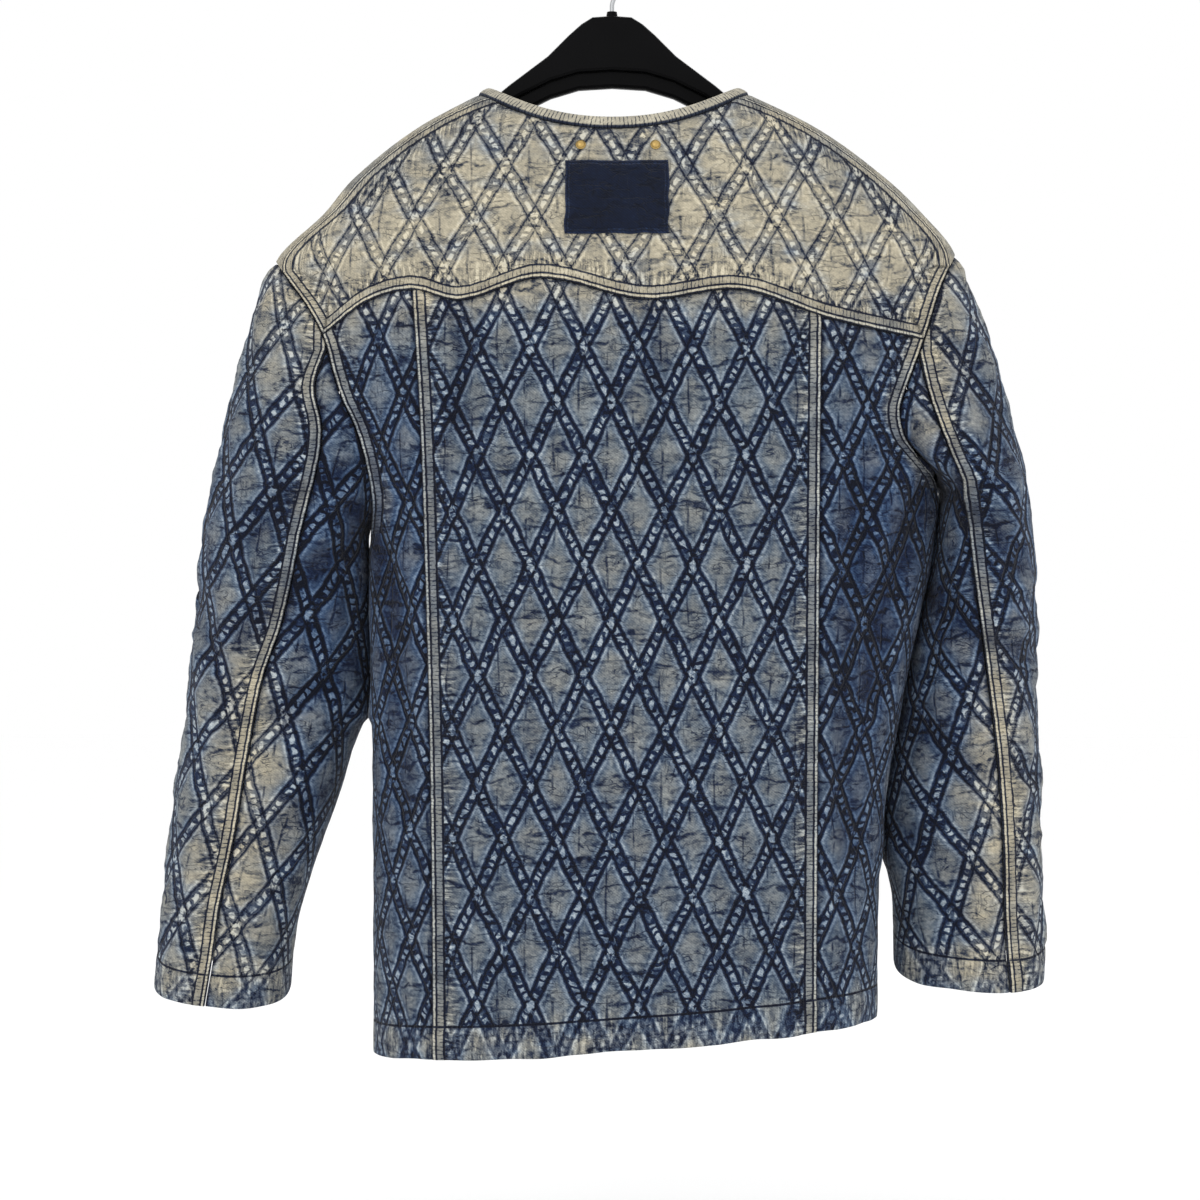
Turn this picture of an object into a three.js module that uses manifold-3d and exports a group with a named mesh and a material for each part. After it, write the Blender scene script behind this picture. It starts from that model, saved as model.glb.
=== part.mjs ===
// A quilted indigo jacket hanging on a plain moulded hanger, seen from behind along +Y.
// Millimetres, +Z up. The origin is where a rail carries the hook, so every height is below zero.
// The jacket's back faces -Y and +X is the wearer's right.
//
// The cloth is cut as the real one is: each panel is cut flat from quilted yardage along its own
// outline, and then bent to the form that it hangs in. The form is a body and two sleeves, each a tube
// of level oval sections, and the three run smoothly into each other at the armholes.
import * as THREE from "three";
import { mergeVertices } from "three/addons/utils/BufferGeometryUtils.js";
import Module from "manifold-3d";

// Cloth
const WALL = 2; // face, wadding and backing pressed together along a stitched line
const PUFF = 2.4; // rise of the wadding along the middle of a quilted diamond
const RIDGE_SHARE = 0.42; // half the length of a diamond's ridge, as a share of its half height
const SEAM_RISE = 0.8; // rise of the folded cloth along a seam or a hem
const SEAM_GAP = 0.3; // clear space between two panels at a seam
const SIDE_FADE = 22; // the wadding is pressed flat this near to where a sleeve lies against the body
const FULLNESS = 2.4; // power of the oval sections: 2 is an ellipse, more is squarer

// Quilting: the size of a diamond, one point where two lines cross, and the turn of the cloth's grain
const BACK_QUILT = { wide: 37.2, tall: 75.4, across: -1, height: -489.5, turn: 0 };
const YOKE_QUILT = { wide: 42, tall: 73, across: 51, height: -173, turn: 0 };
const LEFT_SIDE_QUILT = { wide: 37.2, tall: 76, across: -165, height: -521, turn: 0 };
const RIGHT_SIDE_QUILT = { wide: 39, tall: 75.4, across: 180, height: -492, turn: 0 };
const FRONT_QUILT = { wide: 38, tall: 75.4, across: 5, height: -489.5, turn: 0 };
const LEFT_SLEEVE_QUILT = { wide: 41, tall: 77, across: -232, height: -559, turn: -0.23 };
const RIGHT_SLEEVE_QUILT = { wide: 41, tall: 75, across: 239.5, height: -584, turn: 0.2 };

// Heights
const NECK_POINT = -109; // where the neck edge crosses the shoulder
const SHOULDER = { left: -233, right: -228 }; // top of the armhole
const UNDERARM = { left: -430, right: -396 }; // foot of the armhole
const SHOULDER_BLEND = 24; // how softly a sleeve runs into the body
const BLEND_REACH = 90; // height over which that softness grows from the underarm
const SHOULDER_REACH = 40; // and over which it dies away at the shoulder

// Hem and cuffs: edge planes that hang a little off level
const HEM = { height: -785.5, slope: 0.072 };
const CUFF = {
  left: { height: -754, along: 0.25, across: -0.06, x: -282, y: 12 },
  right: { height: -743, along: 0.25, across: -0.06, x: 258, y: 12 },
};

// Neck: the two curves that its edge follows, and the strip that binds it
const NECK = { left: 88, right: 90, backDrop: 28, backPower: 2.2, frontDrop: 85, frontPower: 2 };
const BINDING = { deep: 8, thick: 3.4, stations: 56 };
const FRONT_EDGE_GAP = 4; // the two fronts hang edge to edge

// Trim on the yoke
const PATCH = { x: 3, z: -196, wide: 72, tall: 52, thick: 1.4, clear: 1.2, steps: 8 };
const STUD = { xs: [-22, 30], z: -158.5, radius: 3.6, high: 2.4, clear: 0.9 };
const TRIM_FADE = { from: 6, to: 34 }; // the wadding is pressed flat under and around the trim
const PRESSED_RISE = 0.4;

// Hanger and hook
const HANGER = { thick: 18, web: 9, half: 192, bevel: 2.5 };
const HOOK = { wire: 3.2, inside: 17, sides: 5, collar: 3.6, collarTall: 6 };

const CLOTH_BLUE = 0x5b6b7e;
const CLOTH_CREAM = 0x9a968a;
const PATCH_BLUE = 0x111b2e;

// A smooth curve through a few points, each [height, value], and level past both ends.
function curve(points) {
  const knots = [...points].sort((a, b) => a[0] - b[0]);
  const last = knots.length - 1;
  const slopes = knots.map((_, i) => {
    const a = knots[Math.max(i - 1, 0)];
    const b = knots[Math.min(i + 1, last)];
    return (b[1] - a[1]) / (b[0] - a[0]);
  });
  return (t) => {
    if (t <= knots[0][0]) return knots[0][1];
    if (t >= knots[last][0]) return knots[last][1];
    const i = knots.findIndex((k) => k[0] > t) - 1;
    const span = knots[i + 1][0] - knots[i][0];
    const s = (t - knots[i][0]) / span;
    const rise = knots[i + 1][1] - knots[i][1];
    const lift = s * s * (3 - 2 * s);
    const leave = s * (1 - s) * (1 - s) * span * slopes[i];
    const arrive = s * s * (s - 1) * span * slopes[i + 1];
    return knots[i][1] + rise * lift + leave + arrive;
  };
}

function smoothStep(from, to, value) {
  const s = Math.min(Math.max((value - from) / (to - from), 0), 1);
  return s * s * (3 - 2 * s);
}

// The larger of two depths, with the corner between them rounded over.
function softMax(a, b, softness) {
  const high = Math.max(a, b);
  const spare = softness - Math.abs(a - b);
  return spare > 0 ? high + (spare * spare) / (4 * softness) : high;
}

// Outlines of the body and the sleeves, seen from behind: [height, across]
const body = {
  left: curve([
    [-95, -62], [-109, -88], [-138, -141], [-173, -185], [-199, -207], [-233, -241], [-259, -236],
    [-295, -225], [-331, -212], [-371, -195], [-400, -182], [-430, -173], [-547, -172], [-691, -171],
    [-800, -171],
  ]),
  right: curve([
    [-95, 62], [-109, 90], [-138, 148], [-173, 196], [-199, 223], [-228, 246], [-259, 245], [-295, 240],
    [-331, 236], [-396, 233], [-446, 227], [-475, 221], [-547, 206], [-619, 194], [-691, 191], [-800, 190],
  ]),
  back: curve([
    [-95, 26], [-109, 38], [-140, 58], [-173, 70], [-233, 82], [-285, 90], [-331, 94], [-446, 97],
    [-619, 96], [-800, 96],
  ]),
  front: curve([
    [-95, 26], [-109, 36], [-140, 47], [-173, 54], [-233, 66], [-285, 76], [-331, 84], [-446, 90],
    [-619, 88], [-800, 88],
  ]),
  middle: () => 0,
};
const leftSleeve = {
  left: curve([
    [-225, -234], [-233, -241], [-259, -253], [-295, -263], [-331, -272], [-439, -294], [-547, -308],
    [-655, -321], [-770, -331],
  ]),
  right: curve([
    [-225, -160], [-259, -152], [-331, -150], [-385, -161], [-430, -175.5], [-450, -177], [-480, -177],
    [-547, -176], [-583, -189], [-619, -200], [-691, -224], [-727, -231], [-770, -234],
  ]),
  back: curve([
    [-225, 28], [-259, 44], [-331, 58], [-430, 60], [-547, 55], [-619, 52], [-691, 46], [-770, 42],
  ]),
  middle: curve([[-430, 0], [-475, 18], [-547, 28], [-619, 22], [-691, 16], [-770, 12]]),
};
leftSleeve.front = leftSleeve.back;
const rightSleeve = {
  left: curve([
    [-220, 165], [-259, 170], [-331, 185], [-362, 195], [-380, 213], [-396, 237], [-415, 236.5],
    [-446, 231.5], [-475, 226], [-547, 211], [-619, 199], [-660, 199], [-691, 204], [-770, 205],
  ]),
  right: curve([
    [-220, 238], [-228, 246], [-259, 258], [-295, 271], [-331, 280], [-403, 296], [-475, 303], [-547, 307],
    [-619, 310], [-691, 311], [-770, 311],
  ]),
  back: curve([
    [-220, 28], [-259, 46], [-331, 62], [-396, 74], [-475, 72], [-547, 67], [-619, 60],
    [-691, 48], [-770, 42],
  ]),
  middle: curve([[-396, 0], [-446, 14], [-475, 20], [-547, 28], [-619, 26], [-691, 18], [-770, 12]]),
};
rightSleeve.front = rightSleeve.back;

// Seams, seen from behind: [height, across], or for the yoke [across, height]
const armhole = {
  left: curve([
    [-233, -241], [-252, -227], [-270, -213.6], [-292, -202], [-317, -195], [-335, -189], [-352, -181],
    [-371, -175], [-390, -171], [-408, -169.5], [-430, -173],
  ]),
  right: curve([
    [-228, 246], [-256, 231], [-291, 219], [-326, 206], [-343, 201], [-362, 205], [-375, 216],
    [-389, 229.5], [-396, 233],
  ]),
};
const sleeveSeam = {
  left: curve([
    [-300, -200], [-325, -208], [-354, -203], [-377, -205], [-418, -215], [-490, -233], [-532, -248],
    [-583, -258], [-645, -268], [-692, -278], [-727, -283], [-770, -290],
  ]),
  right: curve([
    [-302, 214], [-324, 219], [-348, 226], [-375, 236], [-392, 244], [-415, 248], [-461, 254],
    [-526, 264], [-583, 272], [-645, 277], [-708, 279], [-770, 284],
  ]),
};
const frontSleeveSeam = {
  left: curve([
    [-300, -200], [-330, -202], [-360, -202], [-430, -214], [-475, -218], [-547, -222], [-619, -240],
    [-691, -258], [-770, -268],
  ]),
  right: curve([
    [-302, 214], [-330, 222], [-360, 233], [-396, 256], [-430, 259], [-475, 255], [-547, 247], [-619, 240],
    [-691, 243], [-770, 243],
  ]),
};
const backSeam = {
  left: curve([[-255, -139], [-350, -133], [-450, -130], [-600, -126], [-800, -124]]),
  right: curve([[-255, 145], [-400, 143], [-600, 142], [-800, 141]]),
};
const yokeSeam = curve([
  [-230, -305], [-203, -290], [-172, -268], [-139, -260], [-105, -268], [-50, -253], [22, -268], [88, -261],
  [150, -280], [217, -293], [245, -300],
]);
const frontEdge = curve([[-190, 2], [-430, 10], [-800, 10]]);

// One level section of a tube: the middle and half width of its oval, and its depth behind and in front.
function sectionAt(tube, z) {
  const left = tube.left(z);
  const right = tube.right(z);
  return {
    centre: (left + right) / 2,
    half: (right - left) / 2,
    back: tube.back(z),
    front: tube.front(z),
    middle: tube.middle(z),
  };
}

// A point of the oval, turned from the middle of the back (0) by way of +X.
function ovalPoint(section, angle) {
  const sin = Math.sin(angle);
  const cos = Math.cos(angle);
  const deep = cos > 0 ? section.back : section.front;
  return {
    x: section.centre + section.half * Math.sign(sin) * Math.abs(sin) ** (2 / FULLNESS),
    y: section.middle - deep * Math.sign(cos) * Math.abs(cos) ** (2 / FULLNESS),
  };
}

// How far a tube stands out behind (or in front) at a place seen from behind.
function depthAt(tube, x, z, behind) {
  const s = sectionAt(tube, z);
  const share = 1 - Math.abs((x - s.centre) / s.half) ** FULLNESS;
  if (share <= 0) return -Infinity;
  const deep = (behind ? s.back : s.front) * share ** (1 / FULLNESS);
  return behind ? deep - s.middle : deep + s.middle;
}

// The softness of the join between a sleeve and the body at a height.
function blendAt(side, z) {
  const rising = smoothStep(UNDERARM[side], UNDERARM[side] + BLEND_REACH, z);
  const dying = smoothStep(SHOULDER[side], SHOULDER[side] - SHOULDER_REACH, z);
  return SHOULDER_BLEND * rising * dying;
}

// Lengths along the cloth from the middle of an oval's back or front face, by steps of turn. They are
// worked out once for each of many level rows and shared between the panels.
const TURN_STEP = Math.PI / 96;
const TURNS = 192;
const ROW = 2;
const lengthRows = new Map();
function lengthRow(tube, face, row) {
  if (!lengthRows.has(tube)) lengthRows.set(tube, { back: new Map(), front: new Map() });
  const rows = lengthRows.get(tube)[face];
  if (!rows.has(row)) {
    const section = sectionAt(tube, row * ROW);
    const start = face === "back" ? 0 : Math.PI;
    const lengths = [0];
    let from = ovalPoint(section, start);
    for (let i = 1; i <= TURNS; i++) {
      const to = ovalPoint(section, start + (face === "back" ? 1 : -1) * i * TURN_STEP);
      lengths.push(lengths[i - 1] + Math.hypot(to.x - from.x, to.y - from.y));
      from = to;
    }
    rows.set(row, lengths);
  }
  return rows.get(row);
}

// The step of turn at which a row has measured a length.
function stepAt(lengths, along) {
  let low = 0;
  let high = TURNS;
  while (high - low > 1) {
    const middle = (low + high) >> 1;
    if (lengths[middle] <= along) low = middle;
    else high = middle;
  }
  return low + (along - lengths[low]) / (lengths[high] - lengths[low]);
}

// The turn of the oval that lies a length of cloth along from the middle of its face.
function angleAt(tube, face, z, along) {
  const row = Math.floor(z / ROW);
  const share = z / ROW - row;
  const lower = stepAt(lengthRow(tube, face, row), Math.abs(along));
  const upper = stepAt(lengthRow(tube, face, row + 1), Math.abs(along));
  const turn = (lower + (upper - lower) * share) * TURN_STEP * Math.sign(along);
  return face === "back" ? turn : Math.PI - turn;
}

// A form that cloth is bent over. Flat cloth is measured across (from the middle) and by height.
class Form {
  constructor(tube, face, neighbours) {
    this.tube = tube;
    this.face = face;
    this.neighbours = neighbours;
  }

  at(across, z) {
    const section = sectionAt(this.tube, z);
    const angle = angleAt(this.tube, this.face, z, across - section.centre);
    const point = ovalPoint(section, angle);
    const behind = Math.cos(angle) >= 0;
    for (const { tube, side } of this.neighbours) {
      if (z <= UNDERARM[side] || z >= SHOULDER[side]) continue;
      const other = depthAt(tube, point.x, z, behind);
      if (other === -Infinity) continue;
      const deep = softMax(behind ? -point.y : point.y, other, blendAt(side, z) + 1e-6);
      point.y = behind ? -deep : deep;
    }
    return { x: point.x, y: point.y, z, behind };
  }

  normal(across, z) {
    const reach = 1.5;
    const vector = (p) => new THREE.Vector3(p.x, p.y, p.z);
    const along = vector(this.at(across + reach, z)).sub(vector(this.at(across - reach, z)));
    const up = vector(this.at(across, z + reach)).sub(vector(this.at(across, z - reach)));
    const out = along.cross(up).normalize();
    return this.face === "back" ? out : out.negate();
  }

  // A place on the form, moved out of the cloth (or into it, if the rise is below zero).
  lifted(across, z, rise) {
    const p = this.at(across, z);
    return new THREE.Vector3(p.x, p.y, p.z).addScaledVector(this.normal(across, z), rise);
  }
}

const bodySleeves = [{ tube: leftSleeve, side: "left" }, { tube: rightSleeve, side: "right" }];
const backForm = new Form(body, "back", bodySleeves);
const frontForm = new Form(body, "front", bodySleeves);
const sleeveForm = {
  left: new Form(leftSleeve, "back", [{ tube: body, side: "left" }]),
  right: new Form(rightSleeve, "back", [{ tube: body, side: "right" }]),
};

// Quilted yardage over a box of flat cloth: diamonds with a raised ridge on the face, and plain
// diamonds with a middle point on the inside. Each vertex has a place, a rise and an id.
function yardage(quilt, box, rise) {
  const cos = Math.cos(quilt.turn);
  const sin = Math.sin(quilt.turn);
  const made = new Map();
  const vertex = (i, j, puffed) => {
    const key = `${i}:${j}:${puffed}`;
    if (!made.has(key)) {
      const a = (i * quilt.wide) / 2;
      const b = (j * quilt.tall) / 2;
      const u = quilt.across + a * cos - b * sin;
      const v = quilt.height + a * sin + b * cos;
      made.set(key, { u, v, rise: puffed ? rise(u, v) : 0, id: made.size });
    }
    return made.get(key);
  };
  const reach = Math.hypot(box.right - box.left, box.top - box.bottom);
  const columns = Math.ceil((2 * reach) / quilt.wide) + 2;
  const rows = Math.ceil((2 * reach) / quilt.tall) + 2;
  const face = [];
  const inside = [];
  for (let i = -columns; i <= columns; i++) {
    for (let j = -rows; j <= rows; j++) {
      if ((i + j) % 2 === 0) continue;
      const corners = [vertex(i - 1, j, 0), vertex(i, j - 1, 0), vertex(i + 1, j, 0), vertex(i, j + 1, 0)];
      const near = (c) =>
        c.u > box.left && c.u < box.right && c.v > box.bottom && c.v < box.top;
      if (!corners.some(near)) continue;
      const [left, foot, right, head] = corners;
      const low = vertex(i, j - RIDGE_SHARE, 1);
      const high = vertex(i, j + RIDGE_SHARE, 1);
      face.push([left, foot, low], [foot, right, low], [right, head, high], [head, left, high]);
      face.push([left, low, high], [right, high, low]);
      const middle = vertex(i, j, 0);
      inside.push([left, foot, middle], [foot, right, middle], [right, head, middle], [head, left, middle]);
    }
  }
  return { face, inside };
}

// Cuts triangles of flat cloth along the edges of a panel. Each edge is a function of a place on the
// form: millimetres inside it, below zero outside. Cut vertices lie on their edge.
const ON_EDGE = 1e-4;
const SNAP = 2.5; // a quilting point this near an edge is moved onto it, so that no sliver is cut
const EDGE_SAG = 0.05; // how far a straight side may leave its curved edge

function cutCloth(triangles, form, tests) {
  const edges = tests.map((test) => (u, v) => test(form.at(u, v)));
  const distance = (p, k) => edges[k](p.u, p.v);
  const ontoEdge = (p, k) => {
    const probe = 0.2;
    for (let turn = 0; turn < 6; turn++) {
      const d = edges[k](p.u, p.v);
      if (Math.abs(d) < ON_EDGE / 10) return;
      const gu = (edges[k](p.u + probe, p.v) - edges[k](p.u - probe, p.v)) / (2 * probe);
      const gv = (edges[k](p.u, p.v + probe) - edges[k](p.u, p.v - probe)) / (2 * probe);
      const steep = gu * gu + gv * gv;
      if (steep < 1e-6) return;
      p.u -= (d * gu) / steep;
      p.v -= (d * gv) / steep;
    }
  };
  const seen = new Set(triangles.flat());
  let nextId = 1 + Math.max(...[...seen].map((p) => p.id));
  for (const p of seen) {
    edges.forEach((_, k) => {
      if (Math.abs(distance(p, k)) < SNAP) {
        const at = { u: p.u, v: p.v };
        ontoEdge(at, k);
        if (Math.hypot(at.u - p.u, at.v - p.v) < 2 * SNAP) Object.assign(p, at);
      }
    });
  }
  const whole = splitTwiceCrossed(triangles, edges, () => nextId++);
  const cuts = new Map();
  const cutPoint = (a, b, k) => {
    const [from, to] = a.id < b.id ? [a, b] : [b, a];
    const key = `${from.id}:${to.id}:${k}`;
    if (!cuts.has(key)) {
      let low = 0;
      let high = 1;
      const at = (t) => ({ u: from.u + (to.u - from.u) * t, v: from.v + (to.v - from.v) * t });
      const startsInside = distance(from, k) >= 0;
      for (let turn = 0; turn < 32; turn++) {
        const t = (low + high) / 2;
        if (distance(at(t), k) >= 0 === startsInside) low = t;
        else high = t;
      }
      cuts.set(key, { ...at((low + high) / 2), rise: 0, id: nextId++ });
    }
    return cuts.get(key);
  };
  const kept = [];
  for (const triangle of whole) {
    let polygon = triangle;
    for (let k = 0; k < edges.length && polygon.length; k++) {
      const inside = polygon.map((p) => distance(p, k) >= -ON_EDGE);
      const next = [];
      polygon.forEach((p, i) => {
        const j = (i + 1) % polygon.length;
        if (inside[i]) next.push(p);
        const crosses = inside[i] !== inside[j];
        const atEdge = Math.abs(distance(inside[i] ? p : polygon[j], k)) <= ON_EDGE;
        if (crosses && !atEdge) next.push(cutPoint(p, polygon[j], k));
      });
      polygon = next.length < 3 ? [] : next;
    }
    for (let i = 2; i < polygon.length; i++) kept.push([polygon[0], polygon[i - 1], polygon[i]]);
  }
  // A corner is cut where two straight sides meet, so it is brought back inside both of its edges.
  const settle = (panel) => {
    for (const p of new Set(panel.flat())) {
      for (let turn = 0; turn < 3; turn++) {
        edges.forEach((_, k) => {
          if (distance(p, k) < -0.02) ontoEdge(p, k);
        });
      }
    }
  };
  const panel = largestPiece(kept.filter((t) => flatArea(t) > 1e-4));
  settle(panel);
  const rounded = roundEdges(panel, form, tests, () => nextId++);
  settle(rounded);
  return rounded;
}

// Halves the sides of triangles that cross one curved edge more than once, until none does.
function splitTwiceCrossed(triangles, edges, newId) {
  const samples = [0.15, 0.3, 0.5, 0.7, 0.85];
  const isTwiceCrossed = (a, b) =>
    edges.some((g) => {
      const starts = g(a.u, a.v) >= -ON_EDGE;
      if (starts !== g(b.u, b.v) >= -ON_EDGE) return false;
      return samples.some((t) => {
        const d = g(a.u + (b.u - a.u) * t, a.v + (b.v - a.v) * t);
        return starts ? d < -1 : d > 1;
      });
    });
  let cloth = triangles;
  for (let turn = 0; turn < 3; turn++) {
    const halves = new Map();
    for (const t of cloth) {
      t.forEach((a, i) => {
        const b = t[(i + 1) % 3];
        const key = edgeKey(a, b);
        if (halves.has(key)) return;
        const middle = { u: (a.u + b.u) / 2, v: (a.v + b.v) / 2, rise: (a.rise + b.rise) / 2 };
        halves.set(key, isTwiceCrossed(a, b) ? { ...middle, id: newId() } : null);
      });
    }
    cloth = cloth.flatMap((t) => splitTriangle(t, halves));
  }
  return cloth;
}

// One triangle as the smaller ones that its halved sides make.
function splitTriangle(triangle, halves) {
  const half = (a, b) => halves.get(edgeKey(a, b));
  const first = triangle.findIndex((p, i) => half(p, triangle[(i + 1) % 3]));
  if (first < 0) return [triangle];
  const [a, b, c] = [0, 1, 2].map((i) => triangle[(first + i) % 3]);
  const ab = half(a, b);
  const bc = half(b, c);
  const ca = half(c, a);
  if (bc && ca) return [[a, ab, ca], [ab, b, bc], [bc, c, ca], [ab, bc, ca]];
  if (bc) return [[ab, b, bc], [a, ab, bc], [a, bc, c]];
  if (ca) return [[a, ab, ca], [ab, b, c], [ab, c, ca]];
  return [[a, ab, c], [ab, b, c]];
}

function flatArea([a, b, c]) {
  return Math.abs((b.u - a.u) * (c.v - a.v) - (c.u - a.u) * (b.v - a.v)) / 2;
}

const edgeKey = (a, b) => (a.id < b.id ? `${a.id}:${b.id}` : `${b.id}:${a.id}`);

// Sides of triangles by key, with the triangles that use them.
function sidesOf(triangles) {
  const sides = new Map();
  for (const t of triangles) {
    t.forEach((p, i) => {
      const key = edgeKey(p, t[(i + 1) % 3]);
      if (!sides.has(key)) sides.set(key, []);
      sides.get(key).push(t);
    });
  }
  return sides;
}

// The largest set of triangles that are joined side to side.
function largestPiece(triangles) {
  const sides = sidesOf(triangles);
  const seen = new Set();
  let best = [];
  for (const first of triangles) {
    if (seen.has(first)) continue;
    const piece = [];
    const queue = [first];
    seen.add(first);
    while (queue.length) {
      const t = queue.pop();
      piece.push(t);
      t.forEach((p, i) => {
        for (const n of sides.get(edgeKey(p, t[(i + 1) % 3]))) {
          if (!seen.has(n)) {
            seen.add(n);
            queue.push(n);
          }
        }
      });
    }
    if (piece.length > best.length) best = piece;
  }
  return best;
}

// Where the line from one place through the next leaves an edge, looked for around the second place.
function edgeBeyond(from, through, edge) {
  const at = (t) => ({ u: from.u + (through.u - from.u) * t, v: from.v + (through.v - from.v) * t });
  const isInside = (t) => edge(at(t).u, at(t).v) >= 0;
  const steps = [0.35, 0.5, 0.65, 0.8, 0.95, 1.1, 1.3, 1.6, 2];
  const i = steps.findIndex((t, n) => n > 0 && isInside(steps[n - 1]) && !isInside(t));
  if (i < 0) return null;
  let low = steps[i - 1];
  let high = steps[i];
  for (let turn = 0; turn < 32; turn++) {
    const t = (low + high) / 2;
    if (isInside(t)) low = t;
    else high = t;
  }
  return at(low);
}

// Splits the outer sides of a panel until they follow its curved edges.
function roundEdges(triangles, form, tests, newId) {
  let panel = triangles;
  for (let turn = 0; turn < 5; turn++) {
    const sides = sidesOf(panel);
    let split = 0;
    panel = panel.flatMap((t) => {
      const i = t.findIndex((p, n) => sides.get(edgeKey(p, t[(n + 1) % 3])).length === 1);
      if (i < 0) return [t];
      const [a, b, c] = [t[i], t[(i + 1) % 3], t[(i + 2) % 3]];
      const from = form.at(a.u, a.v);
      const to = form.at(b.u, b.v);
      const k = tests.findIndex((test) => Math.abs(test(from)) + Math.abs(test(to)) < 0.01);
      if (k < 0) return [t];
      const chord = {
        x: (from.x + to.x) / 2,
        y: (from.y + to.y) / 2,
        z: (from.z + to.z) / 2,
        behind: from.behind,
      };
      if (Math.abs(tests[k](chord)) < EDGE_SAG) return [t];
      const half = { u: (a.u + b.u) / 2, v: (a.v + b.v) / 2 };
      const place = edgeBeyond(c, half, (u, v) => tests[k](form.at(u, v)));
      if (!place || tests.some((test) => test(form.at(place.u, place.v)) < -0.02)) return [t];
      const middle = { ...place, rise: 0, id: newId() };
      split++;
      return [[a, middle, c], [middle, b, c]];
    });
    if (!split) break;
  }
  return panel;
}

// The outer sides of a panel in order.
function rimOf(triangles) {
  const sides = sidesOf(triangles);
  const after = new Map();
  for (const t of triangles) {
    t.forEach((p, i) => {
      const q = t[(i + 1) % 3];
      if (sides.get(edgeKey(p, q)).length === 1) after.set(p, q);
    });
  }
  const start = [...after.keys()].reduce((best, p) => (p.u + p.v < best.u + best.v ? p : best));
  const rim = [start];
  for (let p = after.get(start); p !== start && rim.length <= after.size; p = after.get(p)) rim.push(p);
  if (rim.length !== after.size) throw new Error("a panel has more than one outline");
  return rim;
}

// Joins the rim of the face to the rim of the inside by the shortest ties.
function rimTies(face, inside) {
  const ties = [];
  const gap = (p, q) => Math.hypot(p.u - q.u, p.v - q.v);
  let i = 0;
  let j = 0;
  while (i < face.length || j < inside.length) {
    const a = face[i % face.length];
    const b = inside[j % inside.length];
    const nextA = face[(i + 1) % face.length];
    const nextB = inside[(j + 1) % inside.length];
    const alongFace = j >= inside.length || (i < face.length && gap(nextA, b) <= gap(a, nextB));
    if (alongFace) {
      ties.push([{ face: a }, { inside: b }, { face: nextA }]);
      i++;
    } else {
      ties.push([{ face: a }, { inside: b }, { inside: nextB }]);
      j++;
    }
  }
  return ties;
}

function meshOf(name, positions, indices, colour, roughness = 0.9, metalness = 0) {
  const geometry = new THREE.BufferGeometry();
  geometry.setAttribute("position", new THREE.Float32BufferAttribute(positions, 3));
  geometry.setIndex(indices);
  if (volumeOf(positions, indices) < 0) geometry.index.array.reverse();
  geometry.computeVertexNormals();
  const material = new THREE.MeshStandardMaterial({ color: colour, roughness, metalness });
  const mesh = new THREE.Mesh(geometry, material);
  mesh.name = name;
  return mesh;
}

function volumeOf(positions, indices) {
  const corner = (i) => new THREE.Vector3().fromArray(positions, 3 * i);
  let volume = 0;
  for (let i = 0; i < indices.length; i += 3) {
    volume += corner(indices[i]).dot(corner(indices[i + 1]).cross(corner(indices[i + 2]))) / 6;
  }
  return volume;
}

// A panel: quilted yardage, cut along its edges, bent over its form and given the cloth's wall.
function panel(name, form, quilt, box, tests, colour) {
  const rise = (u, v) => PUFF * puffShare(form, u, v);
  const cloth = yardage(quilt, box, rise);
  const face = cutCloth(cloth.face, form, tests);
  const inside = cutCloth(cloth.inside, form, tests);
  const faceRim = rimOf(face);
  const onRim = new Set(faceRim);
  const positions = [];
  const numbers = new Map();
  const number = (p, isFace) => {
    const key = `${isFace}:${p.id}`;
    if (!numbers.has(key)) {
      const lift = isFace ? (onRim.has(p) ? SEAM_RISE : p.rise) : -WALL;
      numbers.set(key, positions.length / 3);
      positions.push(...form.lifted(p.u, p.v, lift).toArray());
    }
    return numbers.get(key);
  };
  const indices = [];
  for (const t of face) indices.push(...t.map((p) => number(p, true)));
  for (const [a, b, c] of inside) indices.push(number(a, false), number(c, false), number(b, false));
  for (const tie of rimTies(faceRim, rimOf(inside))) {
    indices.push(...tie.map((p) => (p.face ? number(p.face, true) : number(p.inside, false))));
  }
  return meshOf(name, positions, indices, colour);
}

// How much of its full rise the wadding keeps: less beside the trim and where sleeve and body touch.
function puffShare(form, u, v) {
  const p = form.at(u, v);
  const s = sectionAt(form.tube, v);
  const toSide = s.half - Math.abs(p.x - s.centre);
  let share = smoothStep(1, SIDE_FADE, toSide);
  if (form !== backForm) return share;
  const fromPatch = Math.hypot(
    Math.max(Math.abs(p.x - PATCH.x) - PATCH.wide / 2, 0),
    Math.max(Math.abs(p.z - PATCH.z) - PATCH.tall / 2, 0),
  );
  const fromStuds = STUD.xs.map((x) => Math.hypot(p.x - x, p.z - STUD.z));
  for (const away of [fromPatch, ...fromStuds]) {
    const pressed = PRESSED_RISE / PUFF;
    share *= pressed + (1 - pressed) * smoothStep(TRIM_FADE.from, TRIM_FADE.to, away);
  }
  return share;
}

// Height of the neck's edge behind and in front, and how far inside that edge a place lies.
function neckEdge(x, behind) {
  const drop = behind ? NECK.backDrop : NECK.frontDrop;
  const power = behind ? NECK.backPower : NECK.frontPower;
  const half = x < 0 ? NECK.left : NECK.right;
  const share = Math.abs(x) / half;
  const slope = ((drop * power) / half) * share ** (power - 1);
  return { height: NECK_POINT - drop + drop * share ** power, steep: Math.hypot(1, slope) };
}

function inFromNeck(p) {
  const edge = neckEdge(p.x, p.behind);
  return (edge.height - p.z) / edge.steep;
}

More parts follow.
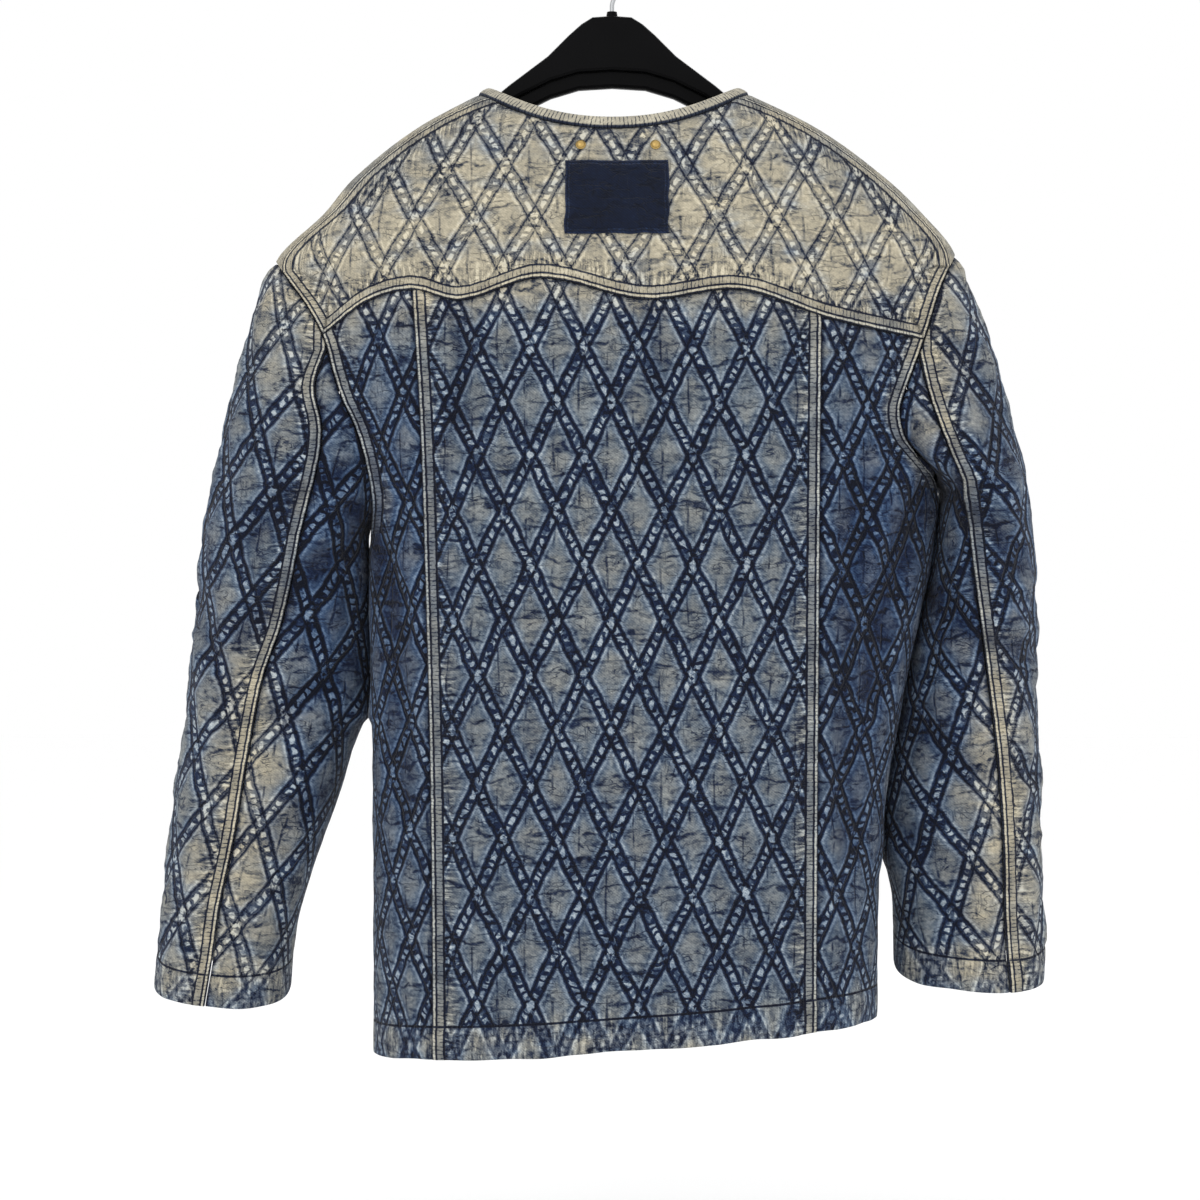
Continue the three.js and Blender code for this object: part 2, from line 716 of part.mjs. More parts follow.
// Edges of panels. Each keeps half of the seam's gap.
const HALF_GAP = SEAM_GAP / 2;
const SLOPE_GAP = 0.38; // the same on a seam that runs over a slope
const NECK_GAP = 1.1; // below the binding, whose edge and the panels' curve differently over the shoulder
const ARMHOLE_GAP = 0.75; // each side of the armhole, whose seam runs aslant and deep
const rightOf = (line) => (p) => p.x - line(p.z) - HALF_GAP;
const leftOf = (line) => (p) => line(p.z) - p.x - HALF_GAP;
const FAR = 1000; // an edge that is nowhere near
const above = (line) => (p) => (p.z - line(p.x)) * 0.94 - HALF_GAP;
const below = (line) => (p) => (line(p.x) - p.z) * 0.94 - HALF_GAP;
const aboveHem = (p) => p.z - HEM.height - HEM.slope * p.x;
const belowNeck = (p) => inFromNeck(p) - BINDING.deep - NECK_GAP;
const insideArmhole = (side) => (p) => {
  if (p.z <= UNDERARM[side]) return FAR;
  return (side === "left" ? p.x - armhole.left(p.z) : armhole.right(p.z) - p.x) - ARMHOLE_GAP;
};
// Behind the line of the sides and shoulders, or in front of it.
const onBack = (p) => -p.y - SLOPE_GAP;
const onFront = (p) => p.y - SLOPE_GAP;
const bodyBox = { left: -420, right: 420, bottom: -880, top: -80 };

const PANELS = {
  back_yoke: () => [backForm, YOKE_QUILT, CLOTH_CREAM, [
    onBack, belowNeck, above(yokeSeam), insideArmhole("left"), insideArmhole("right"),
  ]],
  back_centre: () => [backForm, BACK_QUILT, CLOTH_BLUE, [
    rightOf(backSeam.left), leftOf(backSeam.right), below(yokeSeam), aboveHem,
  ]],
  back_side_left: () => [backForm, LEFT_SIDE_QUILT, CLOTH_BLUE, [
    onBack, leftOf(backSeam.left), below(yokeSeam), aboveHem, insideArmhole("left"),
  ]],
  back_side_right: () => [backForm, RIGHT_SIDE_QUILT, CLOTH_BLUE, [
    onBack, rightOf(backSeam.right), below(yokeSeam), aboveHem, insideArmhole("right"),
  ]],
  front_left: () => [frontForm, FRONT_QUILT, CLOTH_BLUE, [
    onFront, belowNeck, aboveHem, insideArmhole("left"),
    leftOf((z) => frontEdge(z) - FRONT_EDGE_GAP / 2),
  ]],
  front_right: () => [frontForm, FRONT_QUILT, CLOTH_BLUE, [
    onFront, belowNeck, aboveHem, insideArmhole("right"),
    rightOf((z) => frontEdge(z) + FRONT_EDGE_GAP / 2),
  ]],
};

// A sleeve is two panels. The seam behind shows; the one in front is hidden by the body.
function sleevePanels(side) {
  const out = side === "left" ? -1 : 1;
  const form = sleeveForm[side];
  const fromSeam = (p) => out * (p.x - (p.behind ? sleeveSeam : frontSleeveSeam)[side](p.z));
  const cuff = CUFF[side];
  const aboveCuff = (p) =>
    p.z - cuff.height - cuff.along * (p.y - cuff.y) - cuff.across * (p.x - cuff.x);
  const outsideArmhole = (p) =>
    p.z <= UNDERARM[side] ? FAR : out * (p.x - armhole[side](p.z)) - ARMHOLE_GAP;
  const belowShoulder = (p) => SHOULDER[side] - p.z - SEAM_GAP;
  const shared = [aboveCuff, outsideArmhole, belowShoulder];
  const quilt = side === "left" ? LEFT_SLEEVE_QUILT : RIGHT_SLEEVE_QUILT;
  const upper = (p) => fromSeam(p) - SLOPE_GAP;
  const under = (p) => -fromSeam(p) - SLOPE_GAP;
  return [
    panel(`sleeve_${side}_upper`, form, quilt, sleeveBox(side, true), [...shared, upper], CLOTH_BLUE),
    panel(`sleeve_${side}_under`, form, quilt, sleeveBox(side, false), [...shared, under], CLOTH_BLUE),
  ];
}

// Flat cloth is measured from the middle of a sleeve's back, so its two panels lie on opposite sides.
function sleeveBox(side, isUpper) {
  const out = (side === "left" ? -1 : 1) * (isUpper ? 1 : -1);
  const middle = side === "left" ? -245 : 258;
  const reach = 290;
  const overlap = 70;
  return {
    left: out < 0 ? middle - reach : middle - overlap,
    right: out < 0 ? middle + overlap : middle + reach,
    bottom: -820,
    top: -190,
  };
}

// The way out of the body's form at a place on it, from how the form's fullness grows around there.
function bodyNormal(x, y, z) {
  const fullness = (px, py, pz) => {
    const s = sectionAt(body, pz);
    const deep = py < 0 ? s.back : s.front;
    return Math.abs((px - s.centre) / s.half) ** FULLNESS + Math.abs(py / deep) ** FULLNESS;
  };
  const reach = 0.5;
  return new THREE.Vector3(
    fullness(x + reach, y, z) - fullness(x - reach, y, z),
    fullness(x, y + reach, z) - fullness(x, y - reach, z),
    fullness(x, y, z + reach) - fullness(x, y, z - reach),
  ).normalize();
}

// A strip of doubled cloth that binds the neck, from one front edge round the back to the other.
function neckBinding() {
  const ridge = (side, depth) => {
    const line = side < 0 ? body.left : body.right;
    let low = NECK_POINT - 60;
    let high = NECK_POINT + 30;
    for (let turn = 0; turn < 40; turn++) {
      const z = (low + high) / 2;
      if (inFromNeck({ x: line(z), z, behind: true }) > depth) low = z;
      else high = z;
    }
    return line((low + high) / 2);
  };
  const place = (along, depth, lift) => {
    // -2 and 2 are the two front edges, -1 and 1 the shoulders and 0 the middle of the back.
    const side = Math.sign(along) || 1;
    const behind = Math.abs(along) <= 1;
    const share = behind ? Math.abs(along) : 2 - Math.abs(along);
    const end = behind ? 0 : side * (FRONT_EDGE_GAP / 2) + frontEdge(NECK_POINT - NECK.frontDrop);
    const x = end + (ridge(side, depth) - end) * share;
    const edge = neckEdge(x, behind);
    const z = edge.height - depth * edge.steep;
    const deep = depthAt(body, x, z, behind);
    const y = (behind ? -1 : 1) * Math.max(deep, 0);
    return new THREE.Vector3(x, y, z).addScaledVector(bodyNormal(x, y, z), lift);
  };
  const outside = BINDING.thick - WALL;
  const profile = [
    [BINDING.deep, outside], [1.2, outside], [0, 0], [1.2, -WALL], [BINDING.deep, -WALL],
  ];
  const positions = [];
  const indices = [];
  const around = profile.length;
  for (let i = 0; i <= BINDING.stations; i++) {
    const along = -2 + (4 * i) / BINDING.stations;
    for (const [depth, lift] of profile) positions.push(...place(along, depth, lift).toArray());
  }
  for (let i = 0; i < BINDING.stations; i++) {
    for (let k = 0; k < around; k++) {
      const a = i * around + k;
      const b = i * around + ((k + 1) % around);
      indices.push(a, b, a + around, b, b + around, a + around);
    }
  }
  const last = BINDING.stations * around;
  for (let k = 2; k < around; k++) {
    indices.push(0, k, k - 1, last, last + k - 1, last + k);
  }
  return meshOf("neck_binding", positions, indices, CLOTH_CREAM);
}

// A sheet that lies on the yoke, made from the yoke's own points moved out.
function backPatch() {
  const positions = [];
  const indices = [];
  const n = PATCH.steps;
  const row = n + 1;
  for (const lift of [PATCH.clear + PATCH.thick, PATCH.clear]) {
    for (let j = 0; j <= n; j++) {
      for (let i = 0; i <= n; i++) {
        const u = PATCH.x + PATCH.wide * (i / n - 0.5);
        const v = PATCH.z + PATCH.tall * (j / n - 0.5);
        positions.push(...backForm.lifted(u, v, lift).toArray());
      }
    }
  }
  const under = row * row;
  for (let j = 0; j < n; j++) {
    for (let i = 0; i < n; i++) {
      const a = j * row + i;
      indices.push(a, a + 1, a + row, a + 1, a + row + 1, a + row);
      indices.push(under + a, under + a + row, under + a + 1);
      indices.push(under + a + 1, under + a + row, under + a + row + 1);
    }
  }
  const rim = [];
  for (let i = 0; i < n; i++) rim.push(i);
  for (let j = 0; j < n; j++) rim.push(j * row + n);
  for (let i = n; i > 0; i--) rim.push(n * row + i);
  for (let j = n; j > 0; j--) rim.push(j * row);
  rim.forEach((a, i) => {
    const b = rim[(i + 1) % rim.length];
    indices.push(a, a + under, b, b, a + under, b + under);
  });
  return meshOf("back_patch", positions, indices, PATCH_BLUE);
}

// A round domed rivet on the yoke.
function stud(name, x) {
  const profile = [new THREE.Vector2(0, 0), new THREE.Vector2(STUD.radius, 0)];
  const rings = 4;
  for (let i = 1; i <= rings; i++) {
    const turn = (i / rings) * (Math.PI / 2);
    profile.push(new THREE.Vector2(STUD.radius * Math.cos(turn), 0.7 + (STUD.high - 0.7) * Math.sin(turn)));
  }
  profile[profile.length - 1].x = 0;
  const geometry = new THREE.LatheGeometry(profile, 16);
  const material = new THREE.MeshStandardMaterial({ color: 0xb08d3e, roughness: 0.35, metalness: 1 });
  const mesh = new THREE.Mesh(geometry, material);
  mesh.name = name;
  mesh.position.copy(backForm.lifted(x, STUD.z, STUD.clear));
  mesh.quaternion.setFromUnitVectors(new THREE.Vector3(0, 1, 0), backForm.normal(x, STUD.z));
  return mesh;
}

const wasm = await Module();
wasm.setup();

// A closed geometry as a solid, and back.
function solidOf(geometry) {
  const bare = geometry.clone();
  for (const name of ["normal", "uv"]) bare.deleteAttribute(name);
  const merged = mergeVertices(bare, 1e-3);
  return new wasm.Manifold(new wasm.Mesh({
    numProp: 3,
    vertProperties: new Float32Array(merged.attributes.position.array),
    triVerts: new Uint32Array(merged.index.array),
  }));
}

function geometryOf(solid) {
  const mesh = solid.getMesh();
  const geometry = new THREE.BufferGeometry();
  geometry.setAttribute("position", new THREE.BufferAttribute(mesh.vertProperties, 3));
  geometry.setIndex(new THREE.BufferAttribute(mesh.triVerts, 1));
  geometry.computeVertexNormals();
  return geometry;
}

// Upper and lower outlines of the hanger, right half: [across, height]. Its arms lie just under the cloth.
const HANGER_HEAD = -56;
const hangerTop = [
  [14, -57], [22, -62], [31, -70], [46, -85], [58, -94], [74, -106], [92, -121], [112, -132],
];
const HANGER_ARM_DROP = 7.5; // below the shoulder line: the cloth's wall, its rounding and a clear gap
const HANGER_ARM_TALL = 17;
const hangerArch = [[0, -95.5], [24, -97], [44, -103], [66, -114], [90, -129]];
const WEB_DROP = 11.5; // the thin web below the arch

function hangerOutline(lower) {
  const shoulder = (x) => {
    const line = x < 0 ? body.left : body.right;
    let low = -240;
    let high = NECK_POINT;
    for (let turn = 0; turn < 40; turn++) {
      const z = (low + high) / 2;
      if (Math.abs(line(z)) > Math.abs(x)) low = z;
      else high = z;
    }
    return (low + high) / 2;
  };
  const half = (sign) => {
    const arms = [130, 150, 170, HANGER.half];
    const top = [...hangerTop, ...arms.map((x) => [x, shoulder(sign * x) - HANGER_ARM_DROP])];
    const tip = top[top.length - 1];
    const foot = [[tip[0] + 4, tip[1] - HANGER_ARM_TALL / 2], [tip[0], tip[1] - HANGER_ARM_TALL]];
    const inner = arms.slice(0, -1).reverse();
    const armFoot = HANGER_ARM_DROP + HANGER_ARM_TALL;
    const back = inner.map((x) => [x, shoulder(sign * x) - armFoot]);
    const arch = [...hangerArch].reverse().map(([x, z]) => [x, z - lower]);
    return [...top, ...foot, ...back, ...arch].map(([x, z]) => new THREE.Vector2(sign * x, z));
  };
  const right = half(1);
  const left = half(-1);
  const outline = [...left.slice(0, -1).reverse(), new THREE.Vector2(0, HANGER_HEAD), ...right];
  return new THREE.Shape(outline);
}

function hangerPlate(lower, thick) {
  const plate = new THREE.ExtrudeGeometry(hangerOutline(lower), {
    depth: thick - 2 * HANGER.bevel,
    bevelEnabled: true,
    bevelSize: HANGER.bevel,
    bevelOffset: -HANGER.bevel,
    bevelThickness: HANGER.bevel,
    bevelSegments: 2,
  });
  plate.translate(0, 0, HANGER.bevel - thick / 2);
  plate.rotateX(Math.PI / 2);
  return plate;
}

function hanger() {
  const collar = new THREE.CylinderGeometry(HOOK.collar, HOOK.collar + 1, HOOK.collarTall, 16);
  collar.rotateX(Math.PI / 2);
  collar.translate(0, 0, HANGER_HEAD + HOOK.collarTall / 2 - 2);
  const bore = new THREE.CylinderGeometry(HOOK.wire / 2 + SEAM_GAP, HOOK.wire / 2 + SEAM_GAP, 16, 16);
  bore.rotateX(Math.PI / 2);
  bore.translate(0, 0, HANGER_HEAD + HOOK.collarTall - 6);
  const solid = solidOf(hangerPlate(0, HANGER.thick))
    .add(solidOf(hangerPlate(WEB_DROP, HANGER.web)))
    .add(solidOf(collar))
    .subtract(solidOf(bore));
  const material = new THREE.MeshStandardMaterial({ color: 0x0c0d0e, roughness: 0.45, metalness: 0 });
  const mesh = new THREE.Mesh(geometryOf(solid), material);
  mesh.name = "hanger";
  return mesh;
}

// A wire hook: a stem out of the collar, and a ring left open at one side.
function hook() {
  const radius = HOOK.inside + HOOK.wire / 2;
  const middle = -HOOK.inside;
  const points = [];
  const foot = HANGER_HEAD - 3;
  const stem = middle - radius - foot - 4;
  for (let i = 0; i < 4; i++) points.push(new THREE.Vector3(0, 0, foot + (i / 4) * stem));
  const turns = 18;
  for (let i = 0; i <= turns; i++) {
    const turn = -Math.PI / 2 + 0.3 + (i / turns) * (1.5 * Math.PI - 0.3);
    points.push(new THREE.Vector3(radius * Math.cos(turn), 0, middle + radius * Math.sin(turn)));
  }
  const section = new THREE.Shape();
  section.absarc(0, 0, HOOK.wire / 2, 0, 2 * Math.PI);
  const geometry = new THREE.ExtrudeGeometry(section, {
    steps: 44,
    curveSegments: HOOK.sides,
    bevelEnabled: false,
    extrudePath: new THREE.CatmullRomCurve3(points),
  });
  const material = new THREE.MeshStandardMaterial({ color: 0x8d9196, roughness: 0.3, metalness: 1 });
  const mesh = new THREE.Mesh(geometry, material);
  mesh.name = "hanger_hook";
  return mesh;
}

const jacket = new THREE.Group();
jacket.name = "quilted_jacket";
for (const [name, cut] of Object.entries(PANELS)) {
  const [form, quilt, colour, tests] = cut();
  jacket.add(panel(name, form, quilt, bodyBox, tests, colour));
}
jacket.add(...sleevePanels("left"), ...sleevePanels("right"));
jacket.add(neckBinding(), backPatch());
STUD.xs.forEach((x, i) => jacket.add(stud(i ? "stud_right" : "stud_left", x)));
jacket.add(hanger(), hook());

export default jacket;
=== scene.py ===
"""A quilted, washed-indigo jacket hanging on a black moulded hanger, seen from behind.

Each panel of cloth is cut flat, bent over the form that the jacket hangs in, quilted, creased and
given its wall. Sizes are millimetres until a mesh is made, which is in metres.
"""

import logging
import math
from dataclasses import dataclass
from enum import Enum
from typing import Callable, NamedTuple, Sequence

import bpy
import numpy as np
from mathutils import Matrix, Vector

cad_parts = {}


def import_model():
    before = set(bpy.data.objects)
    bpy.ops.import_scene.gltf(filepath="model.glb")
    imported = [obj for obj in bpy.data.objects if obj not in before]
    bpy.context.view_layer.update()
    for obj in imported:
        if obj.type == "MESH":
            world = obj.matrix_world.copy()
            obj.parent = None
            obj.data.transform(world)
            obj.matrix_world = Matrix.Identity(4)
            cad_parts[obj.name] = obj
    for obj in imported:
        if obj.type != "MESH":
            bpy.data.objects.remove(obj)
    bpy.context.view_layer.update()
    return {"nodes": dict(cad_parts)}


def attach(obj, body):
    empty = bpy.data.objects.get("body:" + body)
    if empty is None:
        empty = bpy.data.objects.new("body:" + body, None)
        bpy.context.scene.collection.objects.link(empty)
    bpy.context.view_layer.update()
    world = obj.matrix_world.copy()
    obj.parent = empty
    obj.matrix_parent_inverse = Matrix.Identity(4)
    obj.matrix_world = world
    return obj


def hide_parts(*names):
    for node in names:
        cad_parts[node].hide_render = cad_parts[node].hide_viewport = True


log = logging.getLogger("jacket")

Array = np.ndarray
Socket = bpy.types.NodeSocket
Rgb = tuple[float, float, float]

MM = 0.001
BODY = "root"

WALL = 2.0  # face, wadding and backing pressed together
PUFF = 2.5  # rise of the wadding in a quilted diamond
FULLNESS = 2.4  # power of the oval sections
SIDE_FADE = 22.0  # the wadding is pressed flat this near to a fold of the tube
LINE_SPACE = 34.0  # from one quilting line to the next
FAR = 1000.0  # an edge that is nowhere near
HALF_GAP = 0.15  # each panel's half of the slit along a seam
SLOPE_GAP = 0.38
ARMHOLE_GAP = 0.75
NECK_GAP = 0.8


class Side(Enum):
    """A side of the jacket, as the camera sees it."""

    LEFT = "left"
    RIGHT = "right"

    @property
    def out(self) -> int:
        """The sign of X that points away from the body."""
        return -1 if self is Side.LEFT else 1


class Face(Enum):
    """The face of a tube from whose middle flat cloth is measured."""

    BACK = "back"
    FRONT = "front"


class EdgeFinish(Enum):
    """How the edge of a panel is sewn."""

    FELLED = "felled"  # this panel carries the cord and the double-stitched band
    TUCKED = "tucked"  # this panel goes under its neighbour's band
    HEMMED = "hemmed"  # turned up and stitched once


class Grain(Enum):
    """The flat direction in which an edge mostly runs."""

    ACROSS = 0
    ALONG = 1


UNDERARM = {Side.LEFT: -430.0, Side.RIGHT: -396.0}
SHOULDER = {Side.LEFT: -233.0, Side.RIGHT: -228.0}
SHOULDER_BLEND = 24.0
BLEND_REACH = 90.0
SHOULDER_REACH = 40.0
NECK_POINT = -109.0
NECK_HALF = {Side.LEFT: 88.0, Side.RIGHT: 90.0}
BACK_NECK = (28.0, 2.2)  # drop of the neck's edge behind, and the power of its curve
FRONT_NECK = (85.0, 2.0)
BINDING_DEEP = 8.0
FRONT_EDGE_GAP = 4.0
HEM = (-785.5, 0.072)  # height of the hem in the middle, and its slope

HEM_WAVE = 1.3


def smooth_step(start: float, end: float, value: Array) -> Array:
    """Rises smoothly from 0 at start to 1 at end."""
    s = np.clip((value - start) / (end - start), 0.0, 1.0)
    return s * s * (3.0 - 2.0 * s)


def soft_max(a: Array, b: Array, softness: Array) -> Array:
    """The larger of two depths, with the corner between them rounded over."""
    spare = np.maximum(softness - np.abs(a - b), 0.0)
    return np.maximum(a, b) + spare * spare / (4.0 * softness)


def signed_power(value: Array) -> Array:
    """A sine or cosine turned into one for the oval's power."""
    return np.sign(value) * np.abs(value) ** (2.0 / FULLNESS)


def ripple(u: Array, v: Array, wave: tuple[float, float], seed: int) -> Array:
    """Smooth noise over flat cloth.

    Args:
        u: Places across the cloth.
        v: Places along it.
        wave: Size of one swell across and along.
        seed: Number of the noise.

    Returns:
        Values from -1 to 1.
    """
    table = np.random.default_rng(seed).uniform(-1.0, 1.0, (128, 128))
    a, b = u / wave[0], v / wave[1]
    i, j = np.floor(a).astype(int), np.floor(b).astype(int)
    s, t = a - i, b - j
    s, t = s * s * (3 - 2 * s), t * t * (3 - 2 * t)
    near = table[i % 128, j % 128] * (1 - s) + table[(i + 1) % 128, j % 128] * s
    beyond = table[i % 128, (j + 1) % 128] * (1 - s) + table[(i + 1) % 128, (j + 1) % 128] * s
    return near * (1 - t) + beyond * t


class Curve:
    """A smooth line through a few knots, level past both ends."""

    def __init__(self, *knots: tuple[float, float]) -> None:
        """Sorts the knots and finds the slope at each.

        Args:
            knots: Pairs of place and value.
        """
        self.place, self.value = np.array(sorted(knots)).T
        before = np.r_[0, np.arange(len(knots) - 1)]
        after = np.r_[np.arange(1, len(knots)), len(knots) - 1]
        self.slope = (self.value[after] - self.value[before]) / (self.place[after] - self.place[before])

    def __call__(self, t: Array) -> Array:
        """The line's value at each place."""
        t = np.clip(t, self.place[0], self.place[-1])
        i = np.clip(np.searchsorted(self.place, t, side="right") - 1, 0, len(self.place) - 2)
        span = self.place[i + 1] - self.place[i]
        s = (t - self.place[i]) / span
        rise = (self.value[i + 1] - self.value[i]) * s * s * (3 - 2 * s)
        leave = s * (1 - s) ** 2 * span * self.slope[i]
        arrive = s * s * (s - 1) * span * self.slope[i + 1]
        return self.value[i] + rise + leave + arrive


class Section(NamedTuple):
    """Level ovals of a tube: middle, half width, and depth behind and in front."""

    centre: Array
    half: Array
    back: Array
    front: Array
    middle: Array


class Place(NamedTuple):
    """Places on a form, and whether each is on its back."""

    x: Array
    y: Array
    z: Array
    behind: Array


@dataclass(frozen=True)
class Tube:
    """A tube of level oval sections."""

    left: Curve
    right: Curve
    back: Curve
    front: Curve
    middle: Curve

    def section(self, z: Array) -> Section:
        """The ovals at some heights."""
        left, right = self.left(z), self.right(z)
        return Section((left + right) / 2, (right - left) / 2, self.back(z), self.front(z), self.middle(z))

    def depth(self, x: Array, z: Array, behind: Array) -> Array:
        """How far the tube stands out behind, or in front, at places seen from behind."""
        s = self.section(z)
        share = 1.0 - np.abs((x - s.centre) / s.half) ** FULLNESS
        deep = np.where(behind, s.back, s.front) * np.maximum(share, 0.0) ** (1.0 / FULLNESS)
        return np.where(share > 0, deep + np.where(behind, -s.middle, s.middle), -1e6)


BODY_TUBE = Tube(
    left=Curve(
        (-95, -62), (-109, -88), (-138, -141), (-173, -185), (-199, -207), (-233, -241), (-259, -236),
        (-295, -225), (-331, -212), (-371, -195), (-400, -182), (-430, -173), (-547, -172), (-691, -171),
        (-800, -171),
    ),
    right=Curve(
        (-95, 62), (-109, 90), (-138, 148), (-173, 196), (-199, 223), (-228, 246), (-259, 245), (-295, 240),
        (-331, 236), (-396, 233), (-446, 227), (-475, 221), (-547, 206), (-619, 194), (-691, 191), (-800, 190),
    ),
    back=Curve(
        (-95, 26), (-109, 38), (-140, 58), (-173, 70), (-233, 82), (-285, 90), (-331, 94), (-446, 97),
        (-619, 96), (-800, 96),
    ),
    front=Curve(
        (-95, 26), (-109, 36), (-140, 47), (-173, 54), (-233, 66), (-285, 76), (-331, 84), (-446, 90),
        (-619, 88), (-800, 88),
    ),
    middle=Curve((-800, 0), (-95, 0)),
)
LEFT_SLEEVE_DEPTH = Curve(
    (-225, 28), (-259, 44), (-331, 58), (-430, 60), (-547, 55), (-619, 52), (-691, 46), (-770, 42),
)
RIGHT_SLEEVE_DEPTH = Curve(
    (-220, 28), (-259, 46), (-331, 62), (-396, 74), (-475, 72), (-547, 67), (-619, 60), (-691, 48), (-770, 42),
)
SLEEVE_TUBE = {
    Side.LEFT: Tube(
        left=Curve(
            (-225, -234), (-233, -241), (-259, -253), (-295, -263), (-331, -272), (-439, -294), (-547, -308),
            (-655, -321), (-770, -331),
        ),
        right=Curve(
            (-225, -160), (-259, -152), (-331, -150), (-385, -161), (-430, -175.5), (-450, -177),
            (-480, -177), (-547, -176), (-583, -189), (-619, -200), (-691, -224), (-727, -231), (-770, -234),
        ),
        back=LEFT_SLEEVE_DEPTH,
        front=LEFT_SLEEVE_DEPTH,
        middle=Curve((-430, 0), (-475, 18), (-547, 28), (-619, 22), (-691, 16), (-770, 12)),
    ),
    Side.RIGHT: Tube(
        left=Curve(
            (-220, 165), (-259, 170), (-331, 185), (-362, 195), (-380, 213), (-396, 237), (-415, 236.5),
            (-446, 231.5), (-475, 226), (-547, 211), (-619, 199), (-660, 199), (-691, 204), (-770, 205),
        ),
        right=Curve(
            (-220, 238), (-228, 246), (-259, 258), (-295, 271), (-331, 280), (-403, 296), (-475, 303),
            (-547, 307), (-619, 310), (-691, 311), (-770, 311),
        ),
        back=RIGHT_SLEEVE_DEPTH,
        front=RIGHT_SLEEVE_DEPTH,
        middle=Curve((-396, 0), (-446, 14), (-475, 20), (-547, 28), (-619, 26), (-691, 18), (-770, 12)),
    ),
}
ARMHOLE = {
    Side.LEFT: Curve(
        (-233, -241), (-252, -227), (-270, -213.6), (-292, -202), (-317, -195), (-335, -189), (-352, -181),
        (-371, -175), (-390, -171), (-408, -169.5), (-430, -173),
    ),
    Side.RIGHT: Curve(
        (-228, 246), (-256, 231), (-291, 219), (-326, 206), (-343, 201), (-362, 205), (-375, 216),
        (-389, 229.5), (-396, 233),
    ),
}
SLEEVE_SEAM = {
    Side.LEFT: Curve(
        (-300, -200), (-325, -208), (-354, -203), (-377, -205), (-418, -215), (-490, -233), (-532, -248),
        (-583, -258), (-645, -268), (-692, -278), (-727, -283), (-770, -290),
    ),
    Side.RIGHT: Curve(
        (-302, 214), (-324, 219), (-348, 226), (-375, 236), (-392, 244), (-415, 248), (-461, 254), (-526, 264),
        (-583, 272), (-645, 277), (-708, 279), (-770, 284),
    ),
}
FRONT_SLEEVE_SEAM = {
    Side.LEFT: Curve(
        (-300, -200), (-330, -202), (-360, -202), (-430, -214), (-475, -218), (-547, -222), (-619, -240),
        (-691, -258), (-770, -268),
    ),
    Side.RIGHT: Curve(
        (-302, 214), (-330, 222), (-360, 233), (-396, 256), (-430, 259), (-475, 255), (-547, 247), (-619, 240),
        (-691, 243), (-770, 243),
    ),
}
BACK_SEAM = {
    Side.LEFT: Curve((-255, -139), (-350, -133), (-450, -130), (-600, -126), (-800, -124)),
    Side.RIGHT: Curve((-255, 145), (-400, 143), (-600, 142), (-800, 141)),
}
YOKE_SEAM = Curve(
    (-230, -305), (-203, -290), (-172, -268), (-139, -260), (-105, -268), (-50, -253), (22, -268), (88, -261),
    (150, -280), (217, -293), (245, -300),
)
FRONT_EDGE = Curve((-190, 2), (-430, 10), (-800, 10))


@dataclass(frozen=True)
class Neighbour:
    """A tube that a form runs into, on one side of the body."""

    tube: Tube
    side: Side

    def softness(self, z: Array) -> Array:
        """How softly the two run together at some heights."""
        rising = smooth_step(UNDERARM[self.side], UNDERARM[self.side] + BLEND_REACH, z)
        dying = smooth_step(SHOULDER[self.side], SHOULDER[self.side] - SHOULDER_REACH, z)
        return SHOULDER_BLEND * rising * dying + 1e-6


